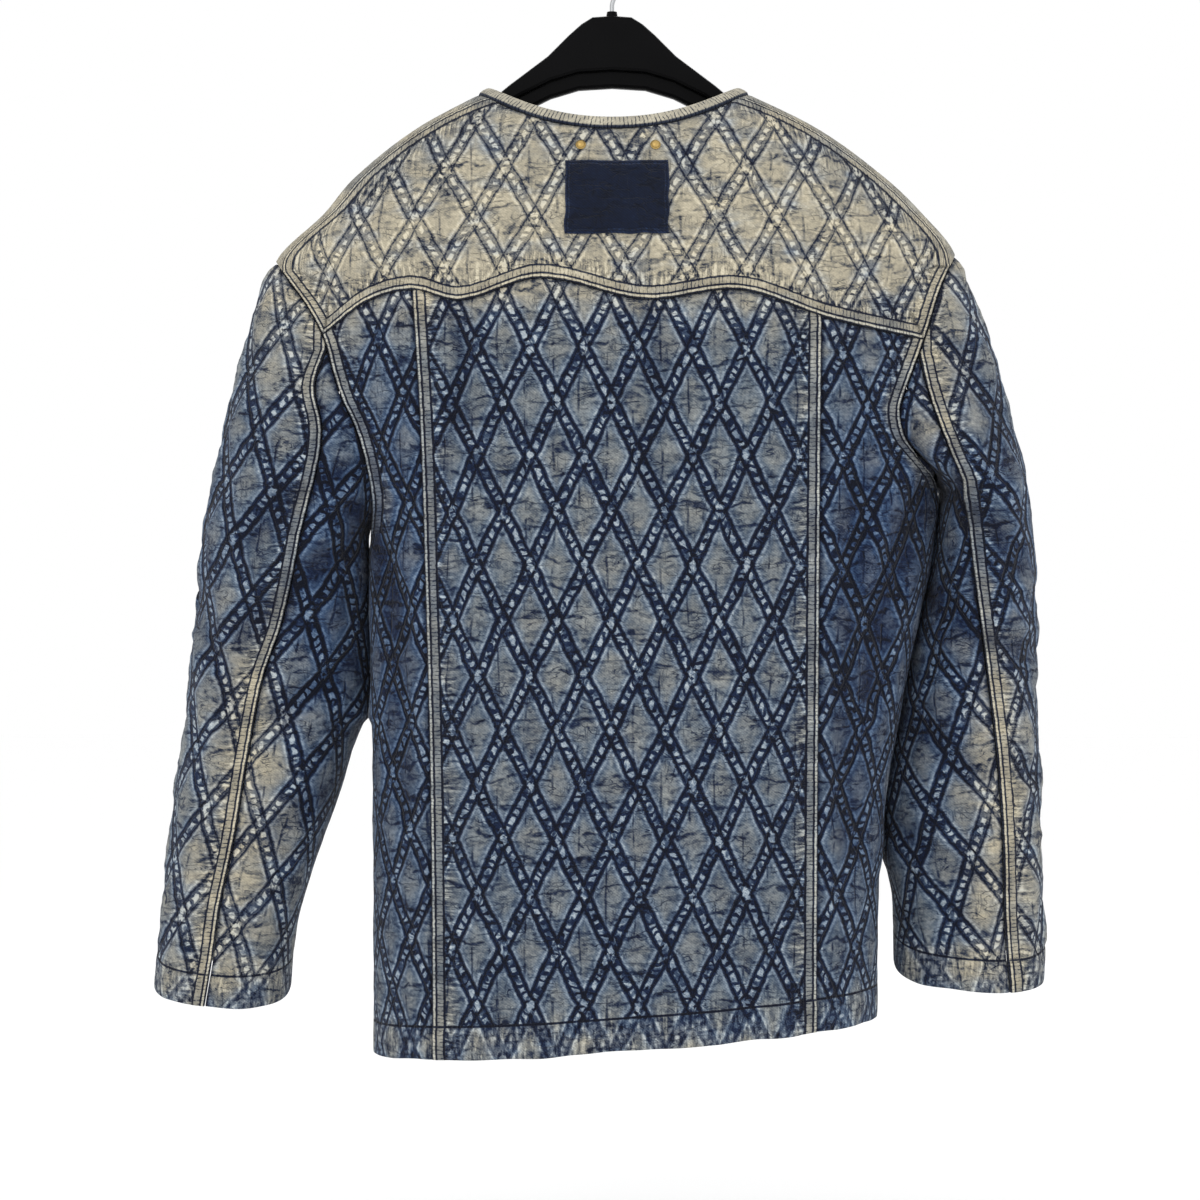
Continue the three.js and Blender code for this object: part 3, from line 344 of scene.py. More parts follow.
class Form:
    """A tube that cloth is bent over, with flat cloth measured across from the middle of one face."""

    ROW = 2.0
    LOWEST = -900.0
    ROWS = 420
    TURNS = 384
    STEPS = 1024

    def __init__(self, tube: Tube, face: Face, neighbours: Sequence[Neighbour]) -> None:
        """Measures the cloth round the tube at many levels.

        Args:
            tube: The tube.
            face: The face from whose middle the cloth is measured.
            neighbours: Tubes that it runs into.
        """
        self.tube = tube
        self.face = face
        self.neighbours = neighbours
        z = self.LOWEST + self.ROW * np.arange(self.ROWS)[:, None]
        turn = np.linspace(0.0, 2 * math.pi, self.TURNS + 1)[None, :]
        angle = turn if face is Face.BACK else math.pi - turn
        x, y, _ = self._oval(tube.section(z), angle)
        step = np.hypot(np.diff(x, axis=1), np.diff(y, axis=1))
        length = np.concatenate([np.zeros_like(z), np.cumsum(step, axis=1)], axis=1)
        self.round = length[:, -1]
        share = np.linspace(0.0, 1.0, self.STEPS)
        self.turns = np.array([np.interp(share * row[-1], row, turn[0]) for row in length])

    @staticmethod
    def _oval(section: Section, angle: Array) -> tuple[Array, Array, Array]:
        """Points of ovals, turned from the middle of the back by way of +X."""
        behind = np.cos(angle) >= 0
        x = section.centre + section.half * signed_power(np.sin(angle))
        y = section.middle - np.where(behind, section.back, section.front) * signed_power(np.cos(angle))
        return x, y, behind

    def _turn(self, row: Array, along: Array) -> Array:
        """The turn that lies some length of cloth along a level row."""
        place = np.clip(np.abs(along) / self.round[row], 0.0, 1.0) * (self.STEPS - 1)
        k = np.minimum(place.astype(int), self.STEPS - 2)
        low = self.turns[row, k]
        return low + (self.turns[row, k + 1] - low) * (place - k)

    def at(self, across: Array, z: Array) -> Place:
        """Bends flat cloth over the form.

        Args:
            across: Places across the flat cloth.
            z: Heights.

        Returns:
            The places on the form.
        """
        section = self.tube.section(z)
        along = across - section.centre
        level = np.clip((z - self.LOWEST) / self.ROW, 0, self.ROWS - 1.001)
        row = level.astype(int)
        share = level - row
        turn = (self._turn(row, along) * (1 - share) + self._turn(row + 1, along) * share) * np.sign(along)
        angle = turn if self.face is Face.BACK else math.pi - turn
        x, y, behind = self._oval(section, angle)
        for n in self.neighbours:
            joined = soft_max(np.where(behind, -y, y), n.tube.depth(x, z, behind), n.softness(z))
            live = (z > UNDERARM[n.side]) & (z < SHOULDER[n.side])
            y = np.where(live, np.where(behind, -joined, joined), y)
        return Place(x, y, np.broadcast_to(z, x.shape), behind)

    def normal(self, across: Array, z: Array) -> Array:
        """The way out of the cloth at flat places, as rows of three."""
        reach = 1.5
        spot = lambda u, v: np.stack(self.at(u, v)[:3], axis=-1)
        along = spot(across + reach, z) - spot(across - reach, z)
        up = spot(across, z + reach) - spot(across, z - reach)
        out = np.cross(along, up) * (1 if self.face is Face.BACK else -1)
        return out / np.maximum(np.linalg.norm(out, axis=-1, keepdims=True), 1e-9)

    def lifted(self, across: Array, z: Array, rise: Array) -> Array:
        """Flat places bent over the form and moved out of it."""
        spot = np.stack(self.at(across, z)[:3], axis=-1)
        return spot + self.normal(across, z) * np.asarray(rise)[..., None]


SLEEVES = [Neighbour(SLEEVE_TUBE[side], side) for side in Side]
BACK_FORM = Form(BODY_TUBE, Face.BACK, SLEEVES)
FRONT_FORM = Form(BODY_TUBE, Face.FRONT, SLEEVES)
SLEEVE_FORM = {side: Form(SLEEVE_TUBE[side], Face.BACK, [Neighbour(BODY_TUBE, side)]) for side in Side}

Test = Callable[[Place], Array]


@dataclass(frozen=True)
class Edge:
    """One edge of a panel: how far inside it a place lies, and how it is sewn."""

    inside: Test
    finish: EdgeFinish
    grain: Grain = Grain.ALONG
    set_in: float = 0.0


@dataclass(frozen=True)
class Quilt:
    """Diamond quilting: the size of a diamond, one crossing of its lines, and the turn of the grain."""

    wide: float
    tall: float
    across: float
    height: float
    turn: float = 0.0

    def lines(self, u: Array, v: Array) -> tuple[Array, Array]:
        """Numbers that are whole along the two families of quilting lines."""
        du, dv = u - self.across, v - self.height
        a = du * math.cos(self.turn) + dv * math.sin(self.turn)
        b = dv * math.cos(self.turn) - du * math.sin(self.turn)
        return a / self.wide + b / self.tall, a / self.wide - b / self.tall


@dataclass(frozen=True)
class Crease:
    """A fold pressed into hanging cloth, seen from behind."""

    path: tuple[tuple[float, float], ...]
    depth: float
    width: float
    behind: bool = True

    def press(self, place: Place) -> tuple[Array, Array]:
        """How a fold moves cloth.

        Args:
            place: Places on the cloth.

        Returns:
            The rise of each place, and how deep it lies in the trough, from 0 to 1, which the cloth's colour uses as
            painted shade.
        """
        near = np.full(place.x.shape, 1e6)
        for (xa, za), (xb, zb) in zip(self.path, self.path[1:]):
            dx, dz = xb - xa, zb - za
            s = np.clip(((place.x - xa) * dx + (place.z - za) * dz) / (dx * dx + dz * dz), 0, 1)
            near = np.minimum(near, np.hypot(place.x - xa - s * dx, place.z - za - s * dz))
        t = near / self.width
        here = place.behind == self.behind
        trough_and_shade = np.where(here, np.exp(-t * t), 0.0)
        ridge = np.where(here, np.exp(-((t - 1.9) ** 2) / 0.7), 0.0)
        # The second value is painted shade, darker the deeper the fold.
        return self.depth * (0.45 * ridge - trough_and_shade), trough_and_shade * min(self.depth / 4.0, 1.0)


@dataclass(frozen=True)
class ColourPatch:
    """A soft patch of colour, used both for dye that has washed out and for kept dye with painted shade."""

    x: float
    z: float
    wide: float
    tall: float
    amount: float

    def at(self, place: Place) -> Array:
        """The patch's strength at each place."""
        across, along = (place.x - self.x) / self.wide, (place.z - self.z) / self.tall
        return self.amount * np.exp(-(across**2 + along**2))


CREASES = (
    Crease(((-181, -412), (-160, -450), (-150, -500)), 4.0, 8.0),
    Crease(((-148, -470), (-150, -540), (-146, -620)), 2.2, 9.0),
    Crease(((226, -392), (205, -430), (186, -482), (180, -540)), 5.0, 10.0),
    Crease(((170, -400), (166, -470), (160, -560), (164, -640)), 2.6, 10.0),
    Crease(((-108, -272), (-104, -312), (-106, -350)), 2.4, 7.0),
    Crease(((28, -274), (30, -330), (26, -400)), 1.6, 9.0),
    Crease(((-190, -385), (-224, -402), (-252, -432)), 3.5, 8.0),
    Crease(((-183, -440), (-222, -462), (-262, -500)), 4.0, 9.0),
    Crease(((-186, -520), (-226, -548), (-268, -560)), 3.0, 8.0),
    Crease(((-206, -610), (-240, -640), (-286, -650)), 2.4, 8.0),
    Crease(((-300, -470), (-276, -520), (-270, -570)), 2.0, 9.0),
    Crease(((238, -402), (262, -420), (284, -452)), 4.0, 8.0),
    Crease(((228, -470), (256, -500), (292, -512)), 4.0, 9.0),
    Crease(((212, -560), (246, -590), (290, -598)), 3.2, 9.0),
    Crease(((206, -640), (240, -662), (286, -668)), 2.4, 8.0),
    Crease(((240, -300), (262, -340), (270, -380)), 2.0, 9.0),
    Crease(((-150, -430), (-120, -520), (-110, -640)), 3.6, 11.0, behind=False),
    Crease(((190, -400), (150, -500), (140, -640)), 3.6, 11.0, behind=False),
    Crease(((-60, -240), (-70, -360), (-60, -480)), 2.4, 12.0, behind=False),
    Crease(((80, -240), (86, -360), (78, -480)), 2.4, 12.0, behind=False),
    Crease(((-200, -450), (-250, -480), (-290, -490)), 3.4, 9.0, behind=False),
    Crease(((-190, -560), (-250, -590), (-300, -600)), 3.0, 9.0, behind=False),
    Crease(((240, -450), (270, -480), (300, -490)), 3.4, 9.0, behind=False),
    Crease(((215, -560), (260, -590), (300, -600)), 3.0, 9.0, behind=False),
)
CREAM = (
    ColourPatch(-165, -232, 85, 42, 0.95), ColourPatch(170, -235, 85, 45, 0.9), ColourPatch(0, -240, 150, 34, 0.8),
    ColourPatch(-80, -170, 80, 45, 0.55), ColourPatch(95, -170, 80, 45, 0.55), ColourPatch(0, -138, 160, 16, 0.5),
    ColourPatch(0, -195, 240, 60, 0.4),
    ColourPatch(-262, -585, 34, 90, 0.85), ColourPatch(-278, -690, 40, 50, 0.6), ColourPatch(-285, -742, 70, 20, 0.5),
    ColourPatch(-225, -280, 26, 40, 0.5), ColourPatch(-235, -330, 30, 50, 0.25),
    ColourPatch(272, -580, 26, 80, 0.75), ColourPatch(280, -680, 34, 60, 0.6), ColourPatch(265, -735, 70, 20, 0.5),
    ColourPatch(232, -320, 26, 60, 0.6), ColourPatch(0, -778, 300, 16, 0.35), ColourPatch(0, -500, 120, 250, 0.16),
)
# Darker, bluer patches: kept dye, with painted shade under the arms, between sleeves and body and along the folds
# lower down.
DEEP_DYE_AND_SHADE = (
    ColourPatch(-160, -430, 40, 110, 0.6), ColourPatch(-160, -620, 30, 130, 0.3), ColourPatch(185, -430, 42, 110, 0.6),
    ColourPatch(180, -620, 32, 130, 0.35), ColourPatch(-290, -420, 34, 120, 0.25), ColourPatch(-205, -480, 26, 90, 0.4),
    ColourPatch(290, -440, 34, 130, 0.3), ColourPatch(235, -480, 26, 100, 0.35), ColourPatch(-214, -660, 20, 90, 0.2),
    ColourPatch(0, -660, 160, 140, 0.08),
)


def in_from_neck(place: Place) -> Array:
    """How far below the neck's edge places lie, square to it."""
    half = np.where(place.x < 0, NECK_HALF[Side.LEFT], NECK_HALF[Side.RIGHT])
    drop = np.where(place.behind, BACK_NECK[0], FRONT_NECK[0])
    power = np.where(place.behind, BACK_NECK[1], FRONT_NECK[1])
    share = np.abs(place.x) / half
    steep = np.hypot(1.0, drop * power / half * share ** (power - 1))
    return (NECK_POINT - drop + drop * share**power - place.z) / steep


def right_of(line: Curve, gap: float = HALF_GAP) -> Test:
    """Places to the right of a line that is given by height."""
    return lambda p: p.x - line(p.z) - gap


def left_of(line: Curve, gap: float = HALF_GAP) -> Test:
    """Places to the left of a line that is given by height."""
    return lambda p: line(p.z) - p.x - gap


def above_yoke_seam(p: Place) -> Array:
    """Places above the yoke's seam."""
    return (p.z - YOKE_SEAM(p.x)) * 0.94 - HALF_GAP


def below_yoke_seam(p: Place) -> Array:
    """Places below the yoke's seam."""
    return (YOKE_SEAM(p.x) - p.z) * 0.94 - HALF_GAP


def above_hem(p: Place) -> Array:
    """Places above the hem."""
    return p.z - HEM[0] - HEM[1] * p.x


def below_neck(p: Place) -> Array:
    """Places below the neck's binding."""
    return in_from_neck(p) - BINDING_DEEP - NECK_GAP


def on_back(p: Place) -> Array:
    """Places behind the line of the sides and shoulders."""
    return -p.y - SLOPE_GAP


def on_front(p: Place) -> Array:
    """Places in front of the line of the sides and shoulders."""
    return p.y - SLOPE_GAP


def inside_armhole(side: Side) -> Test:
    """Places on the body's side of an armhole."""
    return lambda p: np.where(p.z <= UNDERARM[side], FAR, side.out * (ARMHOLE[side](p.z) - p.x) - ARMHOLE_GAP)


def outside_armhole(side: Side) -> Test:
    """Places on the sleeve's side of an armhole."""
    return lambda p: np.where(p.z <= UNDERARM[side], FAR, side.out * (p.x - ARMHOLE[side](p.z)) - ARMHOLE_GAP)


def beyond_sleeve_seam(side: Side, sign: int) -> Test:
    """Places on one side of a sleeve's two seams: 1 for the upper panel and -1 for the under one."""

    def inside(p: Place) -> Array:
        """Millimetres inside the seam."""
        seam = np.where(p.behind, SLEEVE_SEAM[side](p.z), FRONT_SLEEVE_SEAM[side](p.z))
        return sign * side.out * (p.x - seam) - SLOPE_GAP

    return inside


def sleeve_lift(form: Form, place: Place) -> Array:
    """How far cloth swells where a sleeve lies against the body below the underarm.

    Args:
        form: The form that the cloth hangs on.
        place: Places on it.

    Returns:
        The rise of each place, which closes most of the space between the two.
    """
    lift = np.zeros(place.x.shape)
    for side in Side:
        body_edge = (BODY_TUBE.left if side is Side.LEFT else BODY_TUBE.right)(place.z)
        tube = SLEEVE_TUBE[side]
        sleeve_edge = (tube.right if side is Side.LEFT else tube.left)(place.z)
        space = side.out * (sleeve_edge - body_edge)
        if form.tube is BODY_TUBE:
            away = side.out * (body_edge - place.x)
        elif form.tube is tube:
            away = side.out * (place.x - sleeve_edge)
        else:
            continue
        below = smooth_step(UNDERARM[side] + 4, UNDERARM[side] - 14, place.z)
        near = smooth_step(14.0, 2.0, away) * smooth_step(10.0, 6.0, space) * below
        lift = lift + np.clip(space / 2 - 0.3, 0.0, 3.2) * near
    return lift


@dataclass(frozen=True)
class Trim:
    """Where the patch and the studs press the yoke's wadding flat."""

    patch: tuple[float, float, float, float] = (3.0, -196.0, 72.0, 52.0)
    studs: tuple[tuple[float, float], ...] = ((-22.0, -158.5), (30.0, -158.5))
    reach: tuple[float, float] = (5.0, 26.0)
    least: float = 0.12

    def share(self, place: Place) -> Array:
        """How much of its rise the wadding keeps."""
        x, z, wide, tall = self.patch
        beside = np.maximum(np.abs(place.x - x) - wide / 2, 0)
        away = [np.hypot(beside, np.maximum(np.abs(place.z - z) - tall / 2, 0))]
        away += [np.hypot(place.x - sx, place.z - sz) for sx, sz in self.studs]
        kept = self.least + (1 - self.least) * smooth_step(*self.reach, np.min(away, axis=0))
        return np.where(place.behind, kept, 1.0)


TRIM = Trim()


@dataclass(frozen=True)
class Cuff:
    """The slanting edge at the foot of a sleeve."""

    height: float
    x: float
    y: float = 12.0
    along: float = 0.25
    across: float = -0.06

    def above(self, p: Place) -> Array:
        """Places above the cuff's edge."""
        return p.z - self.height - self.along * (p.y - self.y) - self.across * (p.x - self.x)


CUFFS = {Side.LEFT: Cuff(-754, -282), Side.RIGHT: Cuff(-743, 258)}


def make_object(name: str, points: Array, faces: Sequence[Sequence[int]]) -> bpy.types.Object:
    """Makes a smooth mesh object from millimetres.

    Args:
        name: Name of the piece.
        points: Rows of three.
        faces: Corner numbers of each face.

    Returns:
        The object, in the scene.
    """
    mesh = bpy.data.meshes.new(name)
    mesh.from_pydata((points * MM).tolist(), [], faces)
    mesh.polygons.foreach_set("use_smooth", [True] * len(mesh.polygons))
    mesh.update()
    piece = bpy.data.objects.new(name, mesh)
    bpy.context.scene.collection.objects.link(piece)
    return piece


def mark(piece: bpy.types.Object, name: str, values: Array) -> None:
    """Keeps three numbers at each vertex of a piece for its material."""
    layer = piece.data.attributes.new(name, "FLOAT_VECTOR", "POINT")
    layer.data.foreach_set("vector", np.ascontiguousarray(values, dtype=np.float32).ravel())


@dataclass(frozen=True)
class Cut:
    """What a panel was cut to, in metres and square metres."""

    wide: float
    long: float
    area: float


@dataclass
class Panel:
    """One panel of quilted cloth."""

    name: str
    form: Form
    quilt: Quilt
    edges: list[Edge]
    seed: tuple[float, float]
    reach: tuple[float, float, float, float]
    cut: Cut
    hangs_from: str
    pitch: float = 2.1
    band: float = 8.6
    hem_deep: float = 23.0

    def _grid(self) -> tuple[Array, Array, Array]:
        """Flat places on a square grid, and the square cells that hold cloth."""
        left, right, bottom, top = self.reach
        u, v = np.meshgrid(np.arange(left, right, self.pitch), np.arange(bottom, top, self.pitch))
        inside = self._depth(u, v).min(axis=0) >= 0
        inside = self._joined(inside, u, v)
        cells = inside[:-1, :-1] | inside[1:, :-1] | inside[:-1, 1:] | inside[1:, 1:]
        return u, v, cells

    def _depth(self, u: Array, v: Array) -> Array:
        """How far inside each edge flat places lie."""
        place = self.form.at(u, v)
        return np.array([edge.inside(place) for edge in self.edges])

    def _joined(self, inside: Array, u: Array, v: Array) -> Array:
        """The part of the cloth that hangs together with the seed."""
        grown = inside & (np.hypot(u - self.seed[0], v - self.seed[1]) < 3 * self.pitch)
        while True:
            wider = grown.copy()
            for axis in (0, 1):
                for step in (1, -1):
                    wider |= np.roll(grown, step, axis) & inside
            if wider.sum() == grown.sum():
                return grown
            grown = wider

    def _settle(self, u: Array, v: Array) -> tuple[Array, Array]:
        """Brings flat places that lie outside the panel onto its edge."""
        probe = 0.2
        for _ in range(10):
            depth = self._depth(u, v)
            worst = depth.argmin(axis=0)
            pick = lambda d: np.take_along_axis(d, worst[None], 0)[0]
            d = pick(depth)
            gu = (pick(self._depth(u + probe, v)) - pick(self._depth(u - probe, v))) / (2 * probe)
            gv = (pick(self._depth(u, v + probe)) - pick(self._depth(u, v - probe))) / (2 * probe)
            steep = np.maximum(gu * gu + gv * gv, 0.05)
            step = np.where(d < 0, np.clip(d, -2 * self.pitch, 0) / steep, 0.0)
            u = u - np.clip(step * gu, -2 * self.pitch, 2 * self.pitch)
            v = v - np.clip(step * gv, -2 * self.pitch, 2 * self.pitch)
        return u, v

    def _nearest(self, depth: Array, finish: EdgeFinish) -> tuple[Array, Array]:
        """Distance to the nearest edge of a finish, and the number of that edge."""
        numbers = [i for i, e in enumerate(self.edges) if e.finish is finish]
        if not numbers:
            return np.full(depth.shape[1], FAR), np.zeros(depth.shape[1], int)
        near = depth[numbers] - np.array([self.edges[i].set_in for i in numbers])[:, None]
        return near.min(axis=0), np.array(numbers)[near.argmin(axis=0)]

    def build(self) -> bpy.types.Object:
        """Cuts, bends, quilts and creases the panel.

        Returns:
            The closed shell of cloth.
        """
        u, v, cells = self._grid()
        columns = u.shape[1]
        row, column = np.nonzero(cells)
        first = row * columns + column
        quads = np.stack([first, first + 1, first + columns + 1, first + columns], axis=1)
        used, quads = np.unique(quads, return_inverse=True)
        quads = quads.reshape(-1, 4)
        if self.form.face is Face.FRONT:
            quads = quads[:, ::-1]
        u, v = self._settle(u.ravel()[used], v.ravel()[used])
        place = self.form.at(u, v)
        depth = self._depth(u, v)
        band, band_edge = self._nearest(depth, EdgeFinish.FELLED)
        hem, _ = self._nearest(depth, EdgeFinish.HEMMED)
        tuck, _ = self._nearest(depth, EdgeFinish.TUCKED)
        rise, trough_and_shade = self._relief(u, v, place, band, hem, tuck)
        outer = self.form.lifted(u, v, rise)
        inner = self.form.lifted(u, v, np.full(len(u), -WALL))
        section = self.form.tube.section(v)
        aside = smooth_step(2.0, 20.0, section.half - np.abs(place.x - section.centre))
        sag = HEM_WAVE * ripple(u, v, (24, 900), 12) * smooth_step(34.0, 0.0, hem) * aside
        outer[:, 2] += sag
        inner[:, 2] += sag
        piece = self._shell(outer, inner, quads)
        p, q = self.quilt.lines(u, v)
        grain = np.array([e.grain.value for e in self.edges])[band_edge]
        run = np.where(grain == Grain.ACROSS.value, u, v)
        cream = np.clip(sum(w.at(place) for w in CREAM), 0, 1)
        # Kept dye with painted shade under the arms, between sleeves and body and along folds.
        deep = np.clip(sum(w.at(place) for w in DEEP_DYE_AND_SHADE), 0, 1)
        twice = lambda *columns: np.tile(np.stack(columns, axis=1), (2, 1))
        face = np.r_[np.ones(len(u)), np.zeros(len(u))]
        mark(piece, "flat", twice(u, v, run))
        mark(piece, "edges", twice(np.minimum(band, 99), np.minimum(hem, 99), np.minimum(tuck, 99)))
        # Washed-out cream, kept dye with painted shade, and painted shade in crease troughs.
        mark(piece, "wash_and_shade", twice(cream, deep, trough_and_shade))
        lattice = twice(p, q, np.zeros(len(u)))
        lattice[:, 2] = face
        mark(piece, "lattice", lattice)
        return piece

    def _relief(
        self, u: Array, v: Array, place: Place, band: Array, hem: Array, tuck: Array
    ) -> tuple[Array, Array]:
        """The rise of the cloth's face: wadding, crinkles, folds, bands and turned hems.

        Args:
            u: Places across the flat cloth.
            v: Places along it.
            place: The same places on the form.
            band: Distance to the nearest edge with a felled band.
            hem: Distance to the nearest turned hem.
            tuck: Distance to the nearest tucked edge.

        Returns:
            The rise, and how deep each place lies in a fold, from 0 to 1, which the cloth's colour uses as painted
            shade.
        """
        p, q = self.quilt.lines(u, v)
        to_line = np.minimum(np.abs(p - np.round(p)), np.abs(q - np.round(q))) * LINE_SPACE
        pillow = np.sqrt(smooth_step(2.6, 13.5, to_line))
        section = self.form.tube.section(v)
        to_side = section.half - np.abs(place.x - section.centre)
        keep = smooth_step(1.0, SIDE_FADE, to_side)
        if self.form.tube is not BODY_TUBE:
            outer = np.sign(section.centre) * (place.x - section.centre) > 0
            keep = np.where(outer, 1.0, keep)
        sewn = smooth_step(self.band - 1.0, self.band + 9.0, band) * smooth_step(0.0, 9.0, tuck)
        turned = smooth_step(self.hem_deep - 1.0, self.hem_deep + 7.0, hem)
        crinkle = 0.45 * ripple(u, v, (13, 5.5), 3) + 0.3 * ripple(u, v, (7, 4), 4)
        swell = 0.7 * ripple(u, v, (46, 60), 5)
        puff = PUFF * pillow * (0.85 + 0.3 * ripple(u, v, (30, 40), 6)) + crinkle * (0.4 + 0.6 * pillow)
        rise = 0.25 + puff * sewn * (0.35 + 0.65 * turned)
        cord = 1.0 - smooth_step(0.8, 1.7, np.abs(band - 1.3))
        rib = 0.16 * np.sin(v * 2.1 + 2.0 * ripple(u, v, (9, 9), 8))
        rise += (1.0 - smooth_step(self.band - 0.6, self.band + 0.8, band)) * (0.9 + 0.35 * cord + rib)
        roll = np.sqrt(np.clip(1 - ((hem - 11.5) / 11.5) ** 2, 0, 1)) * (hem < 23)
        rise += 1.3 * roll * (1 + 0.35 * ripple(u, v, (8, 30), 9))
        rise -= 0.9 * (1 - smooth_step(0.0, 2.5, tuck))
        trough_and_shade = np.zeros(len(u))
        fold = swell * sewn
        for crease in CREASES:
            # Each fold gives its rise and its painted shade.
            pressed, crease_shade = crease.press(place)
            fold = fold + pressed * smooth_step(0.0, 14.0, tuck) * smooth_step(6.0, 18.0, band)
            trough_and_shade = np.maximum(trough_and_shade, crease_shade)
        if self.form.tube is BODY_TUBE:
            pressed = TRIM.share(place)
            rise, fold = rise * pressed, fold * pressed
        rise = np.maximum(rise * (0.25 + 0.75 * keep) + fold * keep, -1.2)
        return rise + sleeve_lift(self.form, place), trough_and_shade

    def _shell(self, outer: Array, inner: Array, quads: Array) -> bpy.types.Object:
        """Closes the outer face, the plain inside and the rim between them."""
        count = len(outer)
        sides = np.concatenate([quads[:, [i, (i + 1) % 4]] for i in range(4)])
        key = np.sort(sides, axis=1)
        key = key[:, 0].astype(np.int64) * count + key[:, 1]
        _, where, times = np.unique(key, return_index=True, return_counts=True)
        rim = sides[where[times == 1]]
        rim = np.stack([rim[:, 1], rim[:, 0], rim[:, 0] + count, rim[:, 1] + count], axis=1)
        faces = np.concatenate([quads, quads[:, ::-1] + count, rim])
        return make_object(self.name + "_cloth", np.concatenate([outer, inner]), faces.tolist())

    def dress(self, piece: bpy.types.Object, material: bpy.types.Material) -> None:
        """Gives the panel its material and its place in the jacket."""
        piece.data.materials.append(material)
        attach(piece, BODY)
        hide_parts(self.name)


class NodeWriter:
    """Writes nodes into one tree, each joined to those before it."""

    def __init__(self, tree: bpy.types.NodeTree) -> None:
        """Starts on an empty tree."""
        self.tree = tree
        tree.nodes.clear()

    def node(self, kind: str, **settings: object) -> bpy.types.Node:
        """Adds a node and sets its options."""
        node = self.tree.nodes.new(kind)
        for name, value in settings.items():
            setattr(node, name, value)
        return node

    def feed(self, socket: Socket, value: object) -> None:
        """Joins another socket to this one, or sets its value."""
        if isinstance(value, bpy.types.NodeSocket):
            self.tree.links.new(value, socket)
        else:
            socket.default_value = value

    def math(self, operation: str, *values: object) -> Socket:
        """One sum on numbers."""
        node = self.node("ShaderNodeMath", operation=operation)
        for socket, value in zip(node.inputs, values):
            self.feed(socket, value)
        return node.outputs[0]

    def soft(self, value: object, start: float, end: float, low: float = 0.0, high: float = 1.0) -> Socket:
        """Goes smoothly from low at start to high at end."""
        node = self.node("ShaderNodeMapRange", interpolation_type="SMOOTHSTEP", clamp=True)
        for socket, given in zip(node.inputs, (value, start, end, low, high)):
            self.feed(socket, given)
        return node.outputs[0]

    def stretch(self, vector: Socket, across: float, along: float) -> Socket:
        """Flat cloth measured in swells of a size, in millimetres."""
        node = self.node("ShaderNodeVectorMath", operation="MULTIPLY")
        self.feed(node.inputs[0], vector)
        self.feed(node.inputs[1], (1.0 / across, 1.0 / along, 0.0))
        return node.outputs[0]

    def noise(self, vector: Socket, detail: float = 2.0, rough: float = 0.5, twist: float = 0.0) -> Socket:
        """Cloudy noise from 0 to 1."""
        node = self.node("ShaderNodeTexNoise", noise_dimensions="2D")
        self.feed(node.inputs["Vector"], vector)
        for name, value in (("Scale", 1.0), ("Detail", detail), ("Roughness", rough), ("Distortion", twist)):
            self.feed(node.inputs[name], value)
        return node.outputs[0]

    def cells(self, vector: Socket, feature: str = "DISTANCE_TO_EDGE") -> Socket:
        """Distance within a cell of an uneven pattern."""
        node = self.node("ShaderNodeTexVoronoi", voronoi_dimensions="2D", feature=feature)
        self.feed(node.inputs["Vector"], vector)
        self.feed(node.inputs["Scale"], 1.0)
        return node.outputs["Distance"]

    def parts(self, vector: Socket) -> tuple[Socket, Socket, Socket]:
        """The three numbers of a vector."""
        node = self.node("ShaderNodeSeparateXYZ")
        self.feed(node.inputs[0], vector)
        return node.outputs[0], node.outputs[1], node.outputs[2]

    def marked(self, name: str) -> Socket:
        """Three numbers kept at the vertices of a piece."""
        node = self.node("ShaderNodeAttribute", attribute_type="GEOMETRY", attribute_name=name)
        return node.outputs["Vector"]

    def ramp(self, value: Socket, stops: Sequence[tuple[float, Rgb]]) -> Socket:
        """A colour for each value."""
        node = self.node("ShaderNodeValToRGB")
        self.feed(node.inputs[0], value)
        elements = node.color_ramp.elements
        while len(elements) < len(stops):
            elements.new(0.5)
        for element, (place, colour) in zip(elements, stops):
            element.position = place
            element.color = (*colour, 1.0)
        return node.outputs[0]

    def mix(self, share: object, a: object, b: object) -> Socket:
        """Two colours mixed."""
        node = self.node("ShaderNodeMix", data_type="RGBA")
        self.feed(node.inputs[0], share)
        self.feed(node.inputs[6], a)
        self.feed(node.inputs[7], b)
        return node.outputs[2]

    def group(self, tree: bpy.types.NodeTree, **values: object) -> bpy.types.Node:
        """Uses a node group."""
        node = self.node("ShaderNodeGroup", node_tree=tree)
        for name, value in values.items():
            self.feed(node.inputs[name], value)
        return node


def srgb(red: int, green: int, blue: int) -> Rgb:
    """A screen colour as light."""
    shares = (red / 255, green / 255, blue / 255)
    return tuple(s / 12.92 if s < 0.0404 else ((s + 0.055) / 1.055) ** 2.4 for s in shares)


def new_group(
    name: str, inputs: Sequence[tuple[str, str]], outputs: Sequence[str]
) -> tuple[NodeWriter, bpy.types.Node]:
    """Starts a shader node group.

    Args:
        name: Name of the group.
        inputs: Names and socket kinds of its inputs.
        outputs: Names of its outputs, which are numbers.

    Returns:
        The writer, and the group's input node.
    """
    tree = bpy.data.node_groups.new(name, "ShaderNodeTree")
    for label, kind in inputs:
        tree.interface.new_socket(label, in_out="INPUT", socket_type=kind)
    for label in outputs:
        tree.interface.new_socket(label, in_out="OUTPUT", socket_type="NodeSocketFloat")
    writer = NodeWriter(tree)
    return writer, writer.node("NodeGroupInput")


